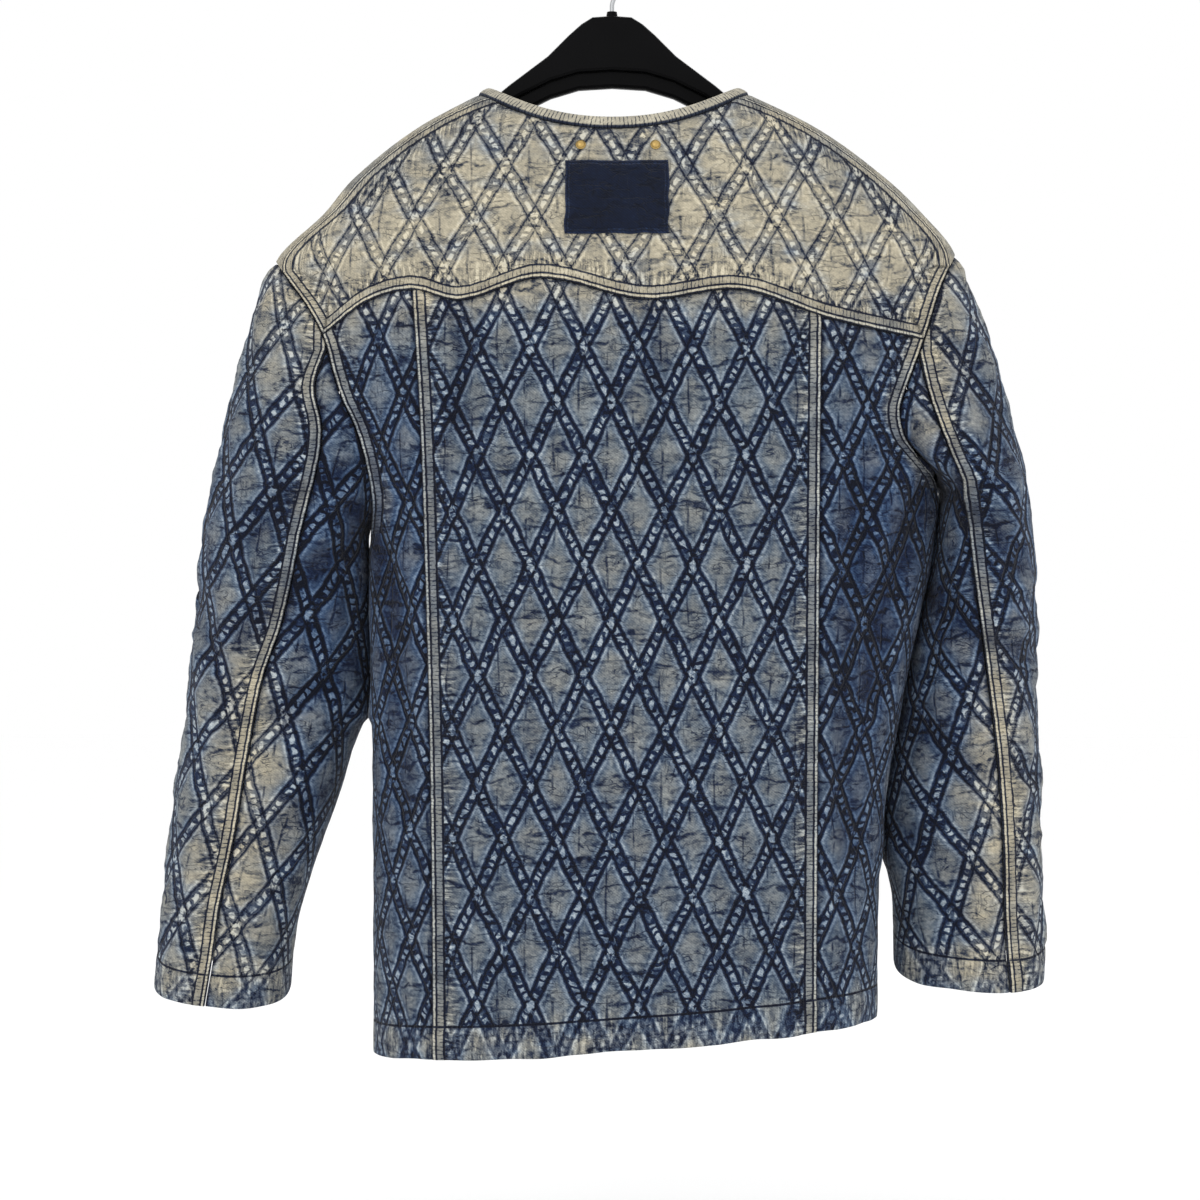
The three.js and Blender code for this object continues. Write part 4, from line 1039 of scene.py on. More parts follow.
class Effects:
    """Node groups that more than one cloth uses."""

    def __init__(self) -> None:
        """Builds the groups."""
        self.weave = self._weave()
        self.band = self._band()
        self.smudge = self._smudge()

    @staticmethod
    def _weave() -> bpy.types.NodeTree:
        """A slanting twill with fuzz: its height."""
        w, given = new_group("Weave", [("Flat", "NodeSocketVector")], ["Height"])
        u, v, _ = w.parts(given.outputs["Flat"])
        slant = w.math("ADD", w.math("MULTIPLY", u, 2.6), w.math("MULTIPLY", v, 3.4))
        twill = w.math("MULTIPLY_ADD", w.math("SINE", slant), 0.5, 0.5)
        fuzz = w.noise(w.stretch(given.outputs["Flat"], 0.9, 0.9), 3.0, 0.7)
        out = w.node("NodeGroupOutput")
        w.feed(out.inputs["Height"], w.math("ADD", w.math("MULTIPLY", twill, 0.4), w.math("MULTIPLY", fuzz, 0.6)))
        return w.tree

    @staticmethod
    def _band() -> bpy.types.NodeTree:
        """A cord, two stitched lines and the ribs between them, by distance from a seam."""
        w, given = new_group(
            "Felled band",
            [("Distance", "NodeSocketFloat"), ("Run", "NodeSocketFloat"), ("Flat", "NodeSocketVector")],
            ["Line", "Cord", "Rib", "Inside"],
        )
        flat = given.outputs["Flat"]
        wobble = w.math("MULTIPLY", w.math("SUBTRACT", w.noise(w.stretch(flat, 6, 6)), 0.5), 0.9)
        d = w.math("ADD", given.outputs["Distance"], wobble)
        lines = [w.soft(w.math("ABSOLUTE", w.math("SUBTRACT", d, at)), 0.35, 0.95, 1, 0) for at in (0.0, 2.9, 8.4)]
        line = w.math("MAXIMUM", w.math("MAXIMUM", lines[0], lines[1]), lines[2])
        cord = w.soft(w.math("ABSOLUTE", w.math("SUBTRACT", d, 1.4)), 0.6, 1.2, 1, 0)
        jitter = w.math("MULTIPLY", w.noise(w.stretch(flat, 5, 5)), 5.0)
        rib = w.math("SINE", w.math("ADD", w.math("MULTIPLY", given.outputs["Run"], 2.3), jitter))
        out = w.node("NodeGroupOutput")
        w.feed(out.inputs["Line"], line)
        w.feed(out.inputs["Cord"], cord)
        faint = w.soft(w.noise(w.stretch(flat, 4, 4)), 0.3, 0.6)
        w.feed(out.inputs["Rib"], w.math("MULTIPLY", w.soft(rib, 0.45, 1.0), faint))
        w.feed(out.inputs["Inside"], w.soft(d, 8.2, 9.2, 1, 0))
        return w.tree

    @staticmethod
    def _smudge() -> bpy.types.NodeTree:
        """Dark smears and streaks, and the cloth's mottle."""
        w, given = new_group("Smudge", [("Flat", "NodeSocketVector")], ["Smear", "Mottle", "Speck"])
        flat = given.outputs["Flat"]
        blot = w.soft(w.noise(w.stretch(flat, 15, 5.2), 4.0, 0.62, 0.6), 0.53, 0.68)
        fold = w.noise(w.stretch(flat, 21, 7.5), 2.5, 0.5, 0.3)
        fold = w.soft(w.math("ABSOLUTE", w.math("SUBTRACT", fold, 0.5)), 0.0, 0.03, 1, 0)
        upright = w.noise(w.stretch(flat, 9, 30), 2.0, 0.5, 0.3)
        upright = w.soft(w.math("ABSOLUTE", w.math("SUBTRACT", upright, 0.5)), 0.0, 0.022, 1, 0)
        patchy = w.soft(w.noise(w.stretch(flat, 17, 13), 1.0), 0.42, 0.6)
        fold = w.math("MULTIPLY", w.math("MAXIMUM", fold, w.math("MULTIPLY", upright, 0.6)), patchy)
        smear = w.math("MAXIMUM", fold, w.math("MULTIPLY", blot, 0.7))
        mottle = w.noise(w.stretch(flat, 22, 17), 5.0, 0.66)
        out = w.node("NodeGroupOutput")
        w.feed(out.inputs["Smear"], smear)
        w.feed(out.inputs["Mottle"], mottle)
        w.feed(out.inputs["Speck"], w.noise(w.stretch(flat, 3.0, 2.4), 4.0, 0.75))
        return w.tree


GREY = (
    (0.0, srgb(5, 12, 32)), (0.25, srgb(22, 36, 64)), (0.5, srgb(78, 90, 103)), (0.75, srgb(132, 141, 147)),
    (1.0, srgb(198, 203, 200)),
)
BLUE = (
    (0.0, srgb(3, 9, 26)), (0.25, srgb(15, 31, 62)), (0.5, srgb(52, 74, 106)), (0.75, srgb(102, 124, 152)),
    (1.0, srgb(176, 192, 206)),
)
CREAMY = (
    (0.0, srgb(10, 18, 40)), (0.25, srgb(52, 60, 74)), (0.5, srgb(142, 138, 126)), (0.75, srgb(184, 175, 153)),
    (1.0, srgb(222, 213, 188)),
)
NAVY = ((0.0, srgb(4, 8, 20)), (0.5, srgb(14, 25, 48)), (1.0, srgb(48, 66, 100)))


@dataclass(frozen=True)
class WashedIndigo:
    """Quilted denim, washed until its high places are pale."""

    effects: Effects
    stitch_at: float = 4.0
    beads: float = 6.2
    square: float = 0.54
    roughness: float = 0.88

    def _quilting(self, w: NodeWriter, flat: Socket, cream: Socket) -> tuple[Socket, Socket, Socket, Socket]:
        """Double stitched lines, their channel, its beads, and the distance to the nearest pair."""
        p, q, _ = w.parts(w.marked("lattice"))
        wobble = [w.math("MULTIPLY", w.math("SUBTRACT", w.noise(w.stretch(flat, s, t), 2.5), 0.5), 0.11)
                  for s, t in ((30, 21), (21, 30))]
        ragged = w.math("MULTIPLY", w.math("SUBTRACT", w.noise(w.stretch(flat, 2.6, 2.6), 3.0), 0.5), 1.5)
        ragged = w.math("MULTIPLY_ADD", cream, 0.45, ragged)
        worn = w.soft(w.noise(w.stretch(flat, 7, 7), 1.0), 0.3, 0.48, 0.35, 1.0)
        jitter = w.math("MULTIPLY", w.noise(w.stretch(flat, 13, 13), 2.0), 2.2)
        near, lines, beads = [], [], []
        for line, other, shake in zip((p, q), (q, p), wobble):
            off = w.math("MULTIPLY", w.math("PINGPONG", w.math("ADD", line, shake), 0.5), LINE_SPACE)
            stray = w.math("ADD", w.math("ABSOLUTE", w.math("SUBTRACT", off, self.stitch_at)), ragged)
            along = w.math("MULTIPLY_ADD", line, -self.square, other)
            count = w.math("PINGPONG", w.math("MULTIPLY_ADD", along, self.beads, jitter), 0.5)
            stray_bead = w.math("ADD", off, ragged)
            near.append(off)
            lines.append(w.soft(stray, 0.5, 1.3, 1, 0))
            beads.append(w.math("MULTIPLY", w.soft(count, 0.12, 0.26), w.soft(stray_bead, 1.5, 2.5, 1, 0)))
        nearest = w.math("MINIMUM", *near)
        bead = w.math("MULTIPLY", w.math("MAXIMUM", *beads), worn)
        return w.math("MAXIMUM", *lines), w.soft(nearest, 3.2, 4.2, 1, 0), bead, nearest

    def _pressed(self, w: NodeWriter, flat: Socket, nearest: Socket) -> Socket:
        """Dark hairlines that cross each diamond level and upright, where it has been folded."""
        p, q, _ = w.parts(w.marked("lattice"))
        bend = w.math("MULTIPLY", w.noise(w.stretch(flat, 26, 20), 3.0), 1.5)
        level = w.math("PINGPONG", w.math("MULTIPLY_ADD", w.math("SUBTRACT", p, q), 2.0, bend), 0.5)
        lean = w.math("MULTIPLY", w.noise(w.stretch(flat, 16, 40), 2.0), 0.35)
        upright = w.math("PINGPONG", w.math("ADD", w.math("ADD", p, q), lean), 0.5)
        kept = [w.soft(w.noise(w.stretch(flat, s, t), 2.0, 0.6), 0.43, 0.6) for s, t in ((19, 11), (12, 23))]
        level = w.math("MULTIPLY", w.soft(level, 0.02, 0.13, 1, 0), kept[0])
        upright = w.math("MULTIPLY", w.soft(upright, 0.01, 0.06, 1, 0), kept[1])
        folded = w.math("MAXIMUM", level, w.math("MULTIPLY", upright, 0.8))
        return w.math("MULTIPLY", folded, w.soft(nearest, 4.6, 6.0))

    def material(self) -> bpy.types.Material:
        """The material, from what the panels keep at their vertices."""
        material = bpy.data.materials.new("washed_indigo")
        material.use_nodes = True
        w = NodeWriter(material.node_tree)
        flat = w.marked("flat")
        across, _, run = w.parts(flat)
        band, hem, tuck = w.parts(w.marked("edges"))
        # Three numbers kept at the vertices: washed-out cream, kept dye with painted shade, and painted shade in
        # crease troughs.
        cream, deep, trough_and_shade = w.parts(w.marked("wash_and_shade"))
        stitch, channel, bead, nearest = self._quilting(w, flat, cream)
        felled = w.group(self.effects.band, Distance=band, Run=run, Flat=flat).outputs
        smudge = w.group(self.effects.smudge, Flat=flat).outputs
        weave = w.group(self.effects.weave, Flat=flat).outputs["Height"]
        open_cloth = w.math("SUBTRACT", 1.0, felled["Inside"])
        hem_line = w.soft(w.math("ABSOLUTE", w.math("SUBTRACT", hem, 23.0)), 0.4, 1.0, 1, 0)
        turned = w.soft(hem, 21.0, 24.0, 1, 0)
        fainter = w.math("SUBTRACT", 1.0, w.math("MULTIPLY", turned, 0.55))
        stitch = w.math("MULTIPLY", w.math("MULTIPLY", stitch, open_cloth), fainter)
        channel = w.math("MULTIPLY", w.math("MULTIPLY", channel, open_cloth), fainter)
        rim = w.math("MULTIPLY", w.soft(nearest, 5.0, 5.8), w.soft(nearest, 6.0, 8.0, 1, 0))
        pressed = self._pressed(w, flat, nearest)
        # Painted shade: a darker, bluer band beside each pair of quilting lines, where the cloth dips towards the
        # channel.
        line_shade = w.math("MULTIPLY", w.soft(nearest, 4.5, 10.5, 1, 0), open_cloth)
        stitched = w.node("ShaderNodeCombineXYZ")
        w.feed(stitched.inputs[0], w.math("MULTIPLY", run, 0.36))
        w.feed(stitched.inputs[1], w.math("MULTIPLY", band, 0.07))
        pucker = w.soft(w.noise(stitched.outputs[0], 3.0, 0.6), 0.42, 0.62)
        pucker = w.math("MULTIPLY", w.math("SUBTRACT", pucker, 0.5), w.soft(band, 8.0, 26.0, 1, 0))
        hemmed = w.node("ShaderNodeCombineXYZ")
        w.feed(hemmed.inputs[0], w.math("MULTIPLY", across, 0.24))
        w.feed(hemmed.inputs[1], w.math("MULTIPLY", hem, 0.06))
        gather = w.soft(w.noise(hemmed.outputs[0], 3.0, 0.6), 0.4, 0.62)
        gather = w.math("MULTIPLY", w.math("SUBTRACT", gather, 0.5), w.soft(hem, 18.0, 40.0, 1, 0))
        tone = w.math("MULTIPLY_ADD", smudge["Mottle"], 0.5, 0.34)
        for share, amount in (
            # On the next line, the fourth term is kept dye with painted shade, and the fifth is painted shade in
            # crease troughs.
            (rim, 0.22), (smudge["Smear"], -0.3), (pressed, -0.34), (deep, -0.16), (trough_and_shade, -0.26),
            (cream, 0.14),
            (w.math("MULTIPLY", channel, bead), 0.62), (line_shade, -0.07), (stitch, -0.36),
            # A darker stitched channel, less so on cream cloth: kept dye and painted shade of the channel's recess.
            (w.math("MULTIPLY", channel, w.math("MULTIPLY_ADD", cream, 0.7, -1.0)), 0.34),
            # The last term here is painted shadow along a tucked edge, under its neighbour's band.
            (pucker, 0.45), (gather, 0.3), (w.soft(tuck, 0.0, 4.0, 1, 0), -0.3),
            (w.math("SUBTRACT", smudge["Speck"], 0.5), 0.6), (w.math("SUBTRACT", weave, 0.5), 0.15),
            (w.soft(band, 8.0, 17.0, 1, 0), 0.06),
        ):
            tone = w.math("MULTIPLY_ADD", share, amount, tone)
        sewn = w.math("MULTIPLY_ADD", smudge["Mottle"], 0.9, 0.22)
        # The band also darkens with kept dye and painted shade, and with painted shade in crease troughs.
        for share, amount in ((felled["Rib"], -0.4), (deep, -0.16), (trough_and_shade, -0.2), (cream, 0.08)):
            sewn = w.math("MULTIPLY_ADD", share, amount, sewn)
        sewn = w.math("MULTIPLY_ADD", felled["Cord"], 0.25, sewn)
        tone = w.math("ADD", w.math("MULTIPLY", tone, open_cloth), w.math("MULTIPLY", sewn, felled["Inside"]))
        tone = w.math("MULTIPLY_ADD", w.math("MAXIMUM", felled["Line"], hem_line), -0.62, tone)
        patchy = w.math("SUBTRACT", w.noise(w.stretch(flat, 34, 15), 4.0, 0.6), 0.5)
        fade = w.math("MULTIPLY_ADD", w.soft(band, 6.0, 20.0, 1, 0), 0.22, cream)
        fade = w.math("MULTIPLY_ADD", turned, 0.04, fade)
        fade = w.math("MULTIPLY_ADD", line_shade, -0.22, fade)
        fade = w.math("MULTIPLY_ADD", w.soft(nearest, 8.0, 14.0), 0.12, fade)
        fade = w.math("MULTIPLY_ADD", patchy, w.math("MULTIPLY_ADD", cream, 1.6, 0.5), fade)
        fade.node.use_clamp = True
        # The share of the bluer ramp comes from kept dye and painted shade: beside the lines and in the deep patches.
        blue_dye_and_shade = w.math("MULTIPLY_ADD", line_shade, 0.45, w.math("MULTIPLY_ADD", deep, 1.3, 0.05))
        blue_dye_and_shade.node.use_clamp = True
        colour = w.mix(fade, w.mix(blue_dye_and_shade, w.ramp(tone, GREY), w.ramp(tone, BLUE)), w.ramp(tone, CREAMY))
        height = w.math("MULTIPLY", weave, 0.16)
        for share, amount in (
            (stitch, -0.8), (w.math("MULTIPLY", channel, bead), 0.8), (smudge["Smear"], -0.6), (pucker, 0.8),
            (gather, 0.8), (pressed, -0.9),
            (felled["Line"], -0.7), (hem_line, -0.9), (w.math("MULTIPLY", felled["Rib"], felled["Inside"]), -0.35),
            (felled["Cord"], 0.4), (smudge["Speck"], 0.9),
        ):
            height = w.math("MULTIPLY_ADD", share, amount, height)
        finish_cloth(w, colour, height, self.roughness)
        return material


def finish_cloth(w: NodeWriter, colour: Socket, height: Socket, roughness: float) -> None:
    """Ends a cloth's material with its shader.

    Args:
        w: The material's writer.
        colour: Its colour.
        height: Its relief, in millimetres.
        roughness: Its roughness.
    """
    bump = w.node("ShaderNodeBump")
    w.feed(bump.inputs["Height"], height)
    bump.inputs["Strength"].default_value = 1.0
    bump.inputs["Distance"].default_value = MM
    shader = w.node("ShaderNodeBsdfPrincipled")
    w.feed(shader.inputs["Base Color"], colour)
    w.feed(shader.inputs["Normal"], bump.outputs[0])
    shader.inputs["Roughness"].default_value = roughness
    shader.inputs["Specular IOR Level"].default_value = 0.2
    shader.inputs["Sheen Weight"].default_value = 0.08
    w.feed(w.node("ShaderNodeOutputMaterial").inputs[0], shader.outputs[0])


@dataclass(frozen=True)
class DarkDenim:
    """Unwashed denim of the patch, rubbed a little along its edges."""

    effects: Effects

    def material(self) -> bpy.types.Material:
        """The material, by flat place and distance from the patch's edge."""
        material = bpy.data.materials.new("patch_denim")
        material.use_nodes = True
        w = NodeWriter(material.node_tree)
        flat = w.marked("flat")
        edge, _, _ = w.parts(w.marked("edges"))
        weave = w.group(self.effects.weave, Flat=flat).outputs["Height"]
        smudge = w.group(self.effects.smudge, Flat=flat).outputs
        stitch = w.soft(w.math("ABSOLUTE", w.math("SUBTRACT", edge, 2.6)), 0.3, 0.8, 1, 0)
        dash = w.soft(w.cells(w.stretch(flat, 2.4, 2.4)), 0.02, 0.16)
        stitch = w.math("MULTIPLY", stitch, dash)
        tone = w.math("MULTIPLY_ADD", smudge["Mottle"], 0.5, 0.08)
        for share, amount in (
            (smudge["Smear"], -0.22), (w.soft(edge, 0.0, 2.2, 1, 0), 0.3), (stitch, 0.3),
            (w.math("SUBTRACT", weave, 0.5), 0.5), (w.math("SUBTRACT", smudge["Speck"], 0.5), 0.5),
        ):
            tone = w.math("MULTIPLY_ADD", share, amount, tone)
        height = w.math("MULTIPLY", weave, 0.3)
        for share, amount in ((stitch, -0.5), (smudge["Smear"], -0.5)):
            height = w.math("MULTIPLY_ADD", share, amount, height)
        finish_cloth(w, w.ramp(tone, NAVY), height, 0.85)
        return material


@dataclass(frozen=True)
class WashedBinding:
    """The washed strip round the neck, ribbed where it is pulled round the curve."""

    effects: Effects

    def material(self) -> bpy.types.Material:
        """The material, by place along the strip and distance from its free edge."""
        material = bpy.data.materials.new("binding")
        material.use_nodes = True
        w = NodeWriter(material.node_tree)
        flat = w.marked("flat")
        _, _, run = w.parts(flat)
        edge, _, _ = w.parts(w.marked("edges"))
        felled = w.group(self.effects.band, Distance=edge, Run=run, Flat=flat).outputs
        smudge = w.group(self.effects.smudge, Flat=flat).outputs
        weave = w.group(self.effects.weave, Flat=flat).outputs["Height"]
        tone = w.math("MULTIPLY_ADD", smudge["Mottle"], 0.5, 0.5)
        for share, amount in (
            (felled["Rib"], -0.5), (w.soft(edge, 6.6, 7.8), -0.6), (w.soft(edge, 0.2, 2.0, 1, 0), 0.1),
            (w.math("SUBTRACT", smudge["Speck"], 0.5), 0.4), (w.math("SUBTRACT", weave, 0.5), 0.15),
        ):
            tone = w.math("MULTIPLY_ADD", share, amount, tone)
        height = w.math("MULTIPLY_ADD", felled["Rib"], -0.4, w.math("MULTIPLY", weave, 0.2))
        colour = w.mix(0.8, w.ramp(tone, GREY), w.ramp(tone, CREAMY))
        finish_cloth(w, colour, height, 0.88)
        return material


@dataclass(frozen=True)
class HardFinish:
    """Moulded plastic or metal, with fine handling marks."""

    name: str
    dark: Rgb
    light: Rgb
    rough: tuple[float, float]
    metal: float = 0.0
    gloss: float = 0.5
    grain: float = 900.0
    relief: float = 0.02

    def material(self) -> bpy.types.Material:
        """The material, by place on the object."""
        material = bpy.data.materials.new(self.name)
        material.use_nodes = True
        w = NodeWriter(material.node_tree)
        place = w.node("ShaderNodeTexCoord").outputs["Object"]
        fine = w.node("ShaderNodeTexNoise")
        w.feed(fine.inputs["Vector"], place)
        fine.inputs["Scale"].default_value = self.grain
        fine.inputs["Detail"].default_value = 3.0
        cloud = w.node("ShaderNodeTexNoise")
        w.feed(cloud.inputs["Vector"], place)
        cloud.inputs["Scale"].default_value = 38.0
        cloud.inputs["Detail"].default_value = 5.0
        bump = w.node("ShaderNodeBump")
        w.feed(bump.inputs["Height"], fine.outputs[0])
        bump.inputs["Distance"].default_value = self.relief * MM
        shader = w.node("ShaderNodeBsdfPrincipled")
        w.feed(shader.inputs["Base Color"], w.mix(cloud.outputs[0], (*self.dark, 1.0), (*self.light, 1.0)))
        w.feed(shader.inputs["Roughness"], w.soft(cloud.outputs[0], 0.3, 0.7, *self.rough))
        w.feed(shader.inputs["Normal"], bump.outputs[0])
        shader.inputs["Metallic"].default_value = self.metal
        shader.inputs["Specular IOR Level"].default_value = self.gloss
        w.feed(w.node("ShaderNodeOutputMaterial").inputs[0], shader.outputs[0])
        return material


@dataclass
class BodyCloth:
    """The panels of the body: yoke, centre back, side backs and fronts."""

    back_pitch: float = 1.9
    front_pitch: float = 2.6

    def panels(self) -> list[Panel]:
        """The panels, from the yoke down."""
        felled, tucked, hemmed = EdgeFinish.FELLED, EdgeFinish.TUCKED, EdgeFinish.HEMMED
        hem = Edge(above_hem, hemmed, Grain.ACROSS)
        sides = {side: Edge(inside_armhole(side), felled) for side in Side}
        seam = Edge(below_yoke_seam, tucked, Grain.ACROSS)
        left, right = BACK_SEAM[Side.LEFT], BACK_SEAM[Side.RIGHT]
        return [
            Panel(
                "back_yoke", BACK_FORM, Quilt(42, 73, 51, -173),
                [Edge(on_back, felled, Grain.ACROSS, 30.0), Edge(below_neck, tucked, Grain.ACROSS),
                 Edge(above_yoke_seam, felled, Grain.ACROSS), *sides.values()],
                (0, -230), (-330, 330, -330, -90), Cut(0.56, 0.24, 0.073), "hanger", self.back_pitch,
            ),
            Panel(
                "back_centre", BACK_FORM, Quilt(37.2, 75.4, -1, -489.5),
                [Edge(right_of(left), felled), Edge(left_of(right), felled), seam, hem],
                (0, -500), (-170, 180, -810, -240), Cut(0.29, 0.545, 0.148), "back_yoke", self.back_pitch,
            ),
            Panel(
                "back_side_left", BACK_FORM, Quilt(37.2, 76, -165, -521),
                [Edge(on_back, tucked), Edge(left_of(left), tucked), seam, hem, sides[Side.LEFT]],
                (-150, -600), (-330, -110, -810, -240), Cut(0.13, 0.54, 0.043), "back_yoke", self.back_pitch,
            ),
            Panel(
                "back_side_right", BACK_FORM, Quilt(39, 75.4, 180, -492),
                [Edge(on_back, tucked), Edge(right_of(right), tucked), seam, hem, sides[Side.RIGHT]],
                (170, -600), (120, 360, -810, -240), Cut(0.15, 0.51, 0.051), "back_yoke", self.back_pitch,
            ),
            *self._fronts(hem, sides),
        ]

    def _fronts(self, hem: Edge, sides: dict[Side, Edge]) -> list[Panel]:
        """The two fronts, which hang edge to edge."""
        opening = {
            Side.LEFT: lambda p: FRONT_EDGE(p.z) - FRONT_EDGE_GAP / 2 - p.x - HALF_GAP,
            Side.RIGHT: lambda p: p.x - FRONT_EDGE(p.z) - FRONT_EDGE_GAP / 2 - HALF_GAP,
        }
        return [
            Panel(
                f"front_{side.value}", FRONT_FORM, Quilt(38, 75.4, 5, -489.5),
                [Edge(on_front, EdgeFinish.TUCKED), Edge(below_neck, EdgeFinish.TUCKED, Grain.ACROSS), hem,
                 sides[side], Edge(opening[side], EdgeFinish.FELLED)],
                (side.out * 90, -500), (-360 * (side is Side.LEFT) - 20, 380 * (side is Side.RIGHT) + 20, -810, -90),
                Cut(0.32, 0.69, 0.147), "hanger", self.front_pitch,
            )
            for side in Side
        ]


@dataclass
class Sleeve:
    """A two-piece sleeve whose seam shows behind."""

    side: Side
    quilt: Quilt
    middle: float
    upper: Cut
    under: Cut
    pitch: float = 2.1

    def panels(self) -> list[Panel]:
        """The upper panel, which carries the bands, and the under one."""
        form = SLEEVE_FORM[self.side]
        shared = [
            Edge(CUFFS[self.side].above, EdgeFinish.HEMMED, Grain.ACROSS),
            Edge(outside_armhole(self.side), EdgeFinish.TUCKED),
            Edge(lambda p: SHOULDER[self.side] - p.z - 0.3, EdgeFinish.TUCKED),
        ]
        made = []
        for name, sign, finish, cut in (
            ("upper", 1, EdgeFinish.FELLED, self.upper), ("under", -1, EdgeFinish.TUCKED, self.under)
        ):
            outward = sign * self.side.out
            box = (self.middle - (290 if outward < 0 else 70), self.middle + (290 if outward > 0 else 70), -800, -200)
            seed = (self.middle + outward * 90, -560)
            edges = [*shared, Edge(beyond_sleeve_seam(self.side, sign), finish)]
            made.append(
                Panel(
                    f"sleeve_{self.side.value}_{name}", form, self.quilt, edges, seed, box, cut, "back_yoke",
                    self.pitch,
                )
            )
        return made


@dataclass
class NeckBinding:
    """The strip that binds the neck's edge."""

    deep: float = BINDING_DEEP
    thick: float = 3.4
    stations: int = 260
    cut: tuple[float, float] = (0.028, 0.43)

    def _ridge(self, side: Side, depth: float) -> float:
        """Where a line at a depth inside the neck's edge crosses the shoulder."""
        line = BODY_TUBE.left if side is Side.LEFT else BODY_TUBE.right
        low, high = NECK_POINT - 60.0, NECK_POINT + 30.0
        for _ in range(40):
            z = (low + high) / 2
            place = Place(np.array(line(z)), np.array(0.0), np.array(z), np.array(True))
            low, high = (z, high) if in_from_neck(place) > depth else (low, z)
        return float(line((low + high) / 2))

    def _line(self, along: Array, depth: float, lift: float) -> Array:
        """One line of the strip: -2 and 2 are the front edges, -1 and 1 the shoulders, 0 the middle behind."""
        behind = np.abs(along) <= 1
        share = np.where(behind, np.abs(along), 2 - np.abs(along))
        sign = np.where(along < 0, -1, 1)
        end = np.where(behind, 0.0, sign * FRONT_EDGE_GAP / 2 + FRONT_EDGE(np.array(NECK_POINT - FRONT_NECK[0])))
        ridge = np.where(along < 0, self._ridge(Side.LEFT, depth), self._ridge(Side.RIGHT, depth))
        x = end + (ridge - end) * share
        half = np.where(x < 0, NECK_HALF[Side.LEFT], NECK_HALF[Side.RIGHT])
        drop = np.where(behind, BACK_NECK[0], FRONT_NECK[0])
        power = np.where(behind, BACK_NECK[1], FRONT_NECK[1])
        part = np.abs(x) / half
        z = NECK_POINT - drop + drop * part**power - depth * np.hypot(1.0, drop * power / half * part ** (power - 1))
        y = np.where(behind, -1, 1) * np.maximum(BODY_TUBE.depth(x, z, behind), 0.0)
        return np.stack([x, y, z], axis=1) + self._out(x, y, z) * lift

    @staticmethod
    def _out(x: Array, y: Array, z: Array) -> Array:
        """The way out of the body's form at places on it."""

        def fullness(px: Array, py: Array, pz: Array) -> Array:
            """Grows outwards through 1 at the form."""
            s = BODY_TUBE.section(pz)
            deep = np.where(py < 0, s.back, s.front)
            return np.abs((px - s.centre) / s.half) ** FULLNESS + np.abs(py / deep) ** FULLNESS

        r = 0.5
        out = np.stack(
            [fullness(x + r, y, z) - fullness(x - r, y, z), fullness(x, y + r, z) - fullness(x, y - r, z),
             fullness(x, y, z + r) - fullness(x, y, z - r)], axis=1,
        )
        return out / np.linalg.norm(out, axis=1, keepdims=True)

    def build(self) -> bpy.types.Object:
        """A rounded strip, closed at both ends.

        Returns:
            The strip.
        """
        outside = self.thick - WALL
        profile = [(self.deep, 0.2), (self.deep - 0.7, outside), (self.deep * 0.62, outside + 0.5),
                   (self.deep * 0.3, outside + 0.45), (1.0, outside), (0.2, 0.4), (0.0, -0.4), (0.6, -1.5),
                   (1.6, -WALL), (self.deep, -WALL)]
        along = np.linspace(-2.0, 2.0, self.stations + 1)
        lines = [self._line(along, depth, lift) for depth, lift in profile]
        rings = len(lines)
        points = np.stack(lines, axis=1).reshape(-1, 3)
        run = np.r_[0, np.cumsum(np.linalg.norm(np.diff(lines[3], axis=0), axis=1))]
        faces = []
        for i in range(self.stations):
            for k in range(rings):
                a, b = i * rings + k, i * rings + (k + 1) % rings
                faces.append([a, b, b + rings, a + rings])
        last = self.stations * rings
        faces += [list(range(rings))[::-1], [last + k for k in range(rings)]]
        piece = make_object("neck_binding_cloth", points, faces)
        depth = np.tile([d for d, _ in profile], self.stations + 1)
        lengths = np.repeat(run, rings)
        mark(piece, "flat", np.stack([lengths, depth, lengths], axis=1))
        mark(piece, "edges", np.stack([depth, depth, depth], axis=1))
        return piece

    def dress(self, piece: bpy.types.Object, material: bpy.types.Material) -> None:
        """Gives the strip its material and its place in the jacket."""
        piece.data.materials.append(material)
        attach(piece, BODY)
        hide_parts("neck_binding")


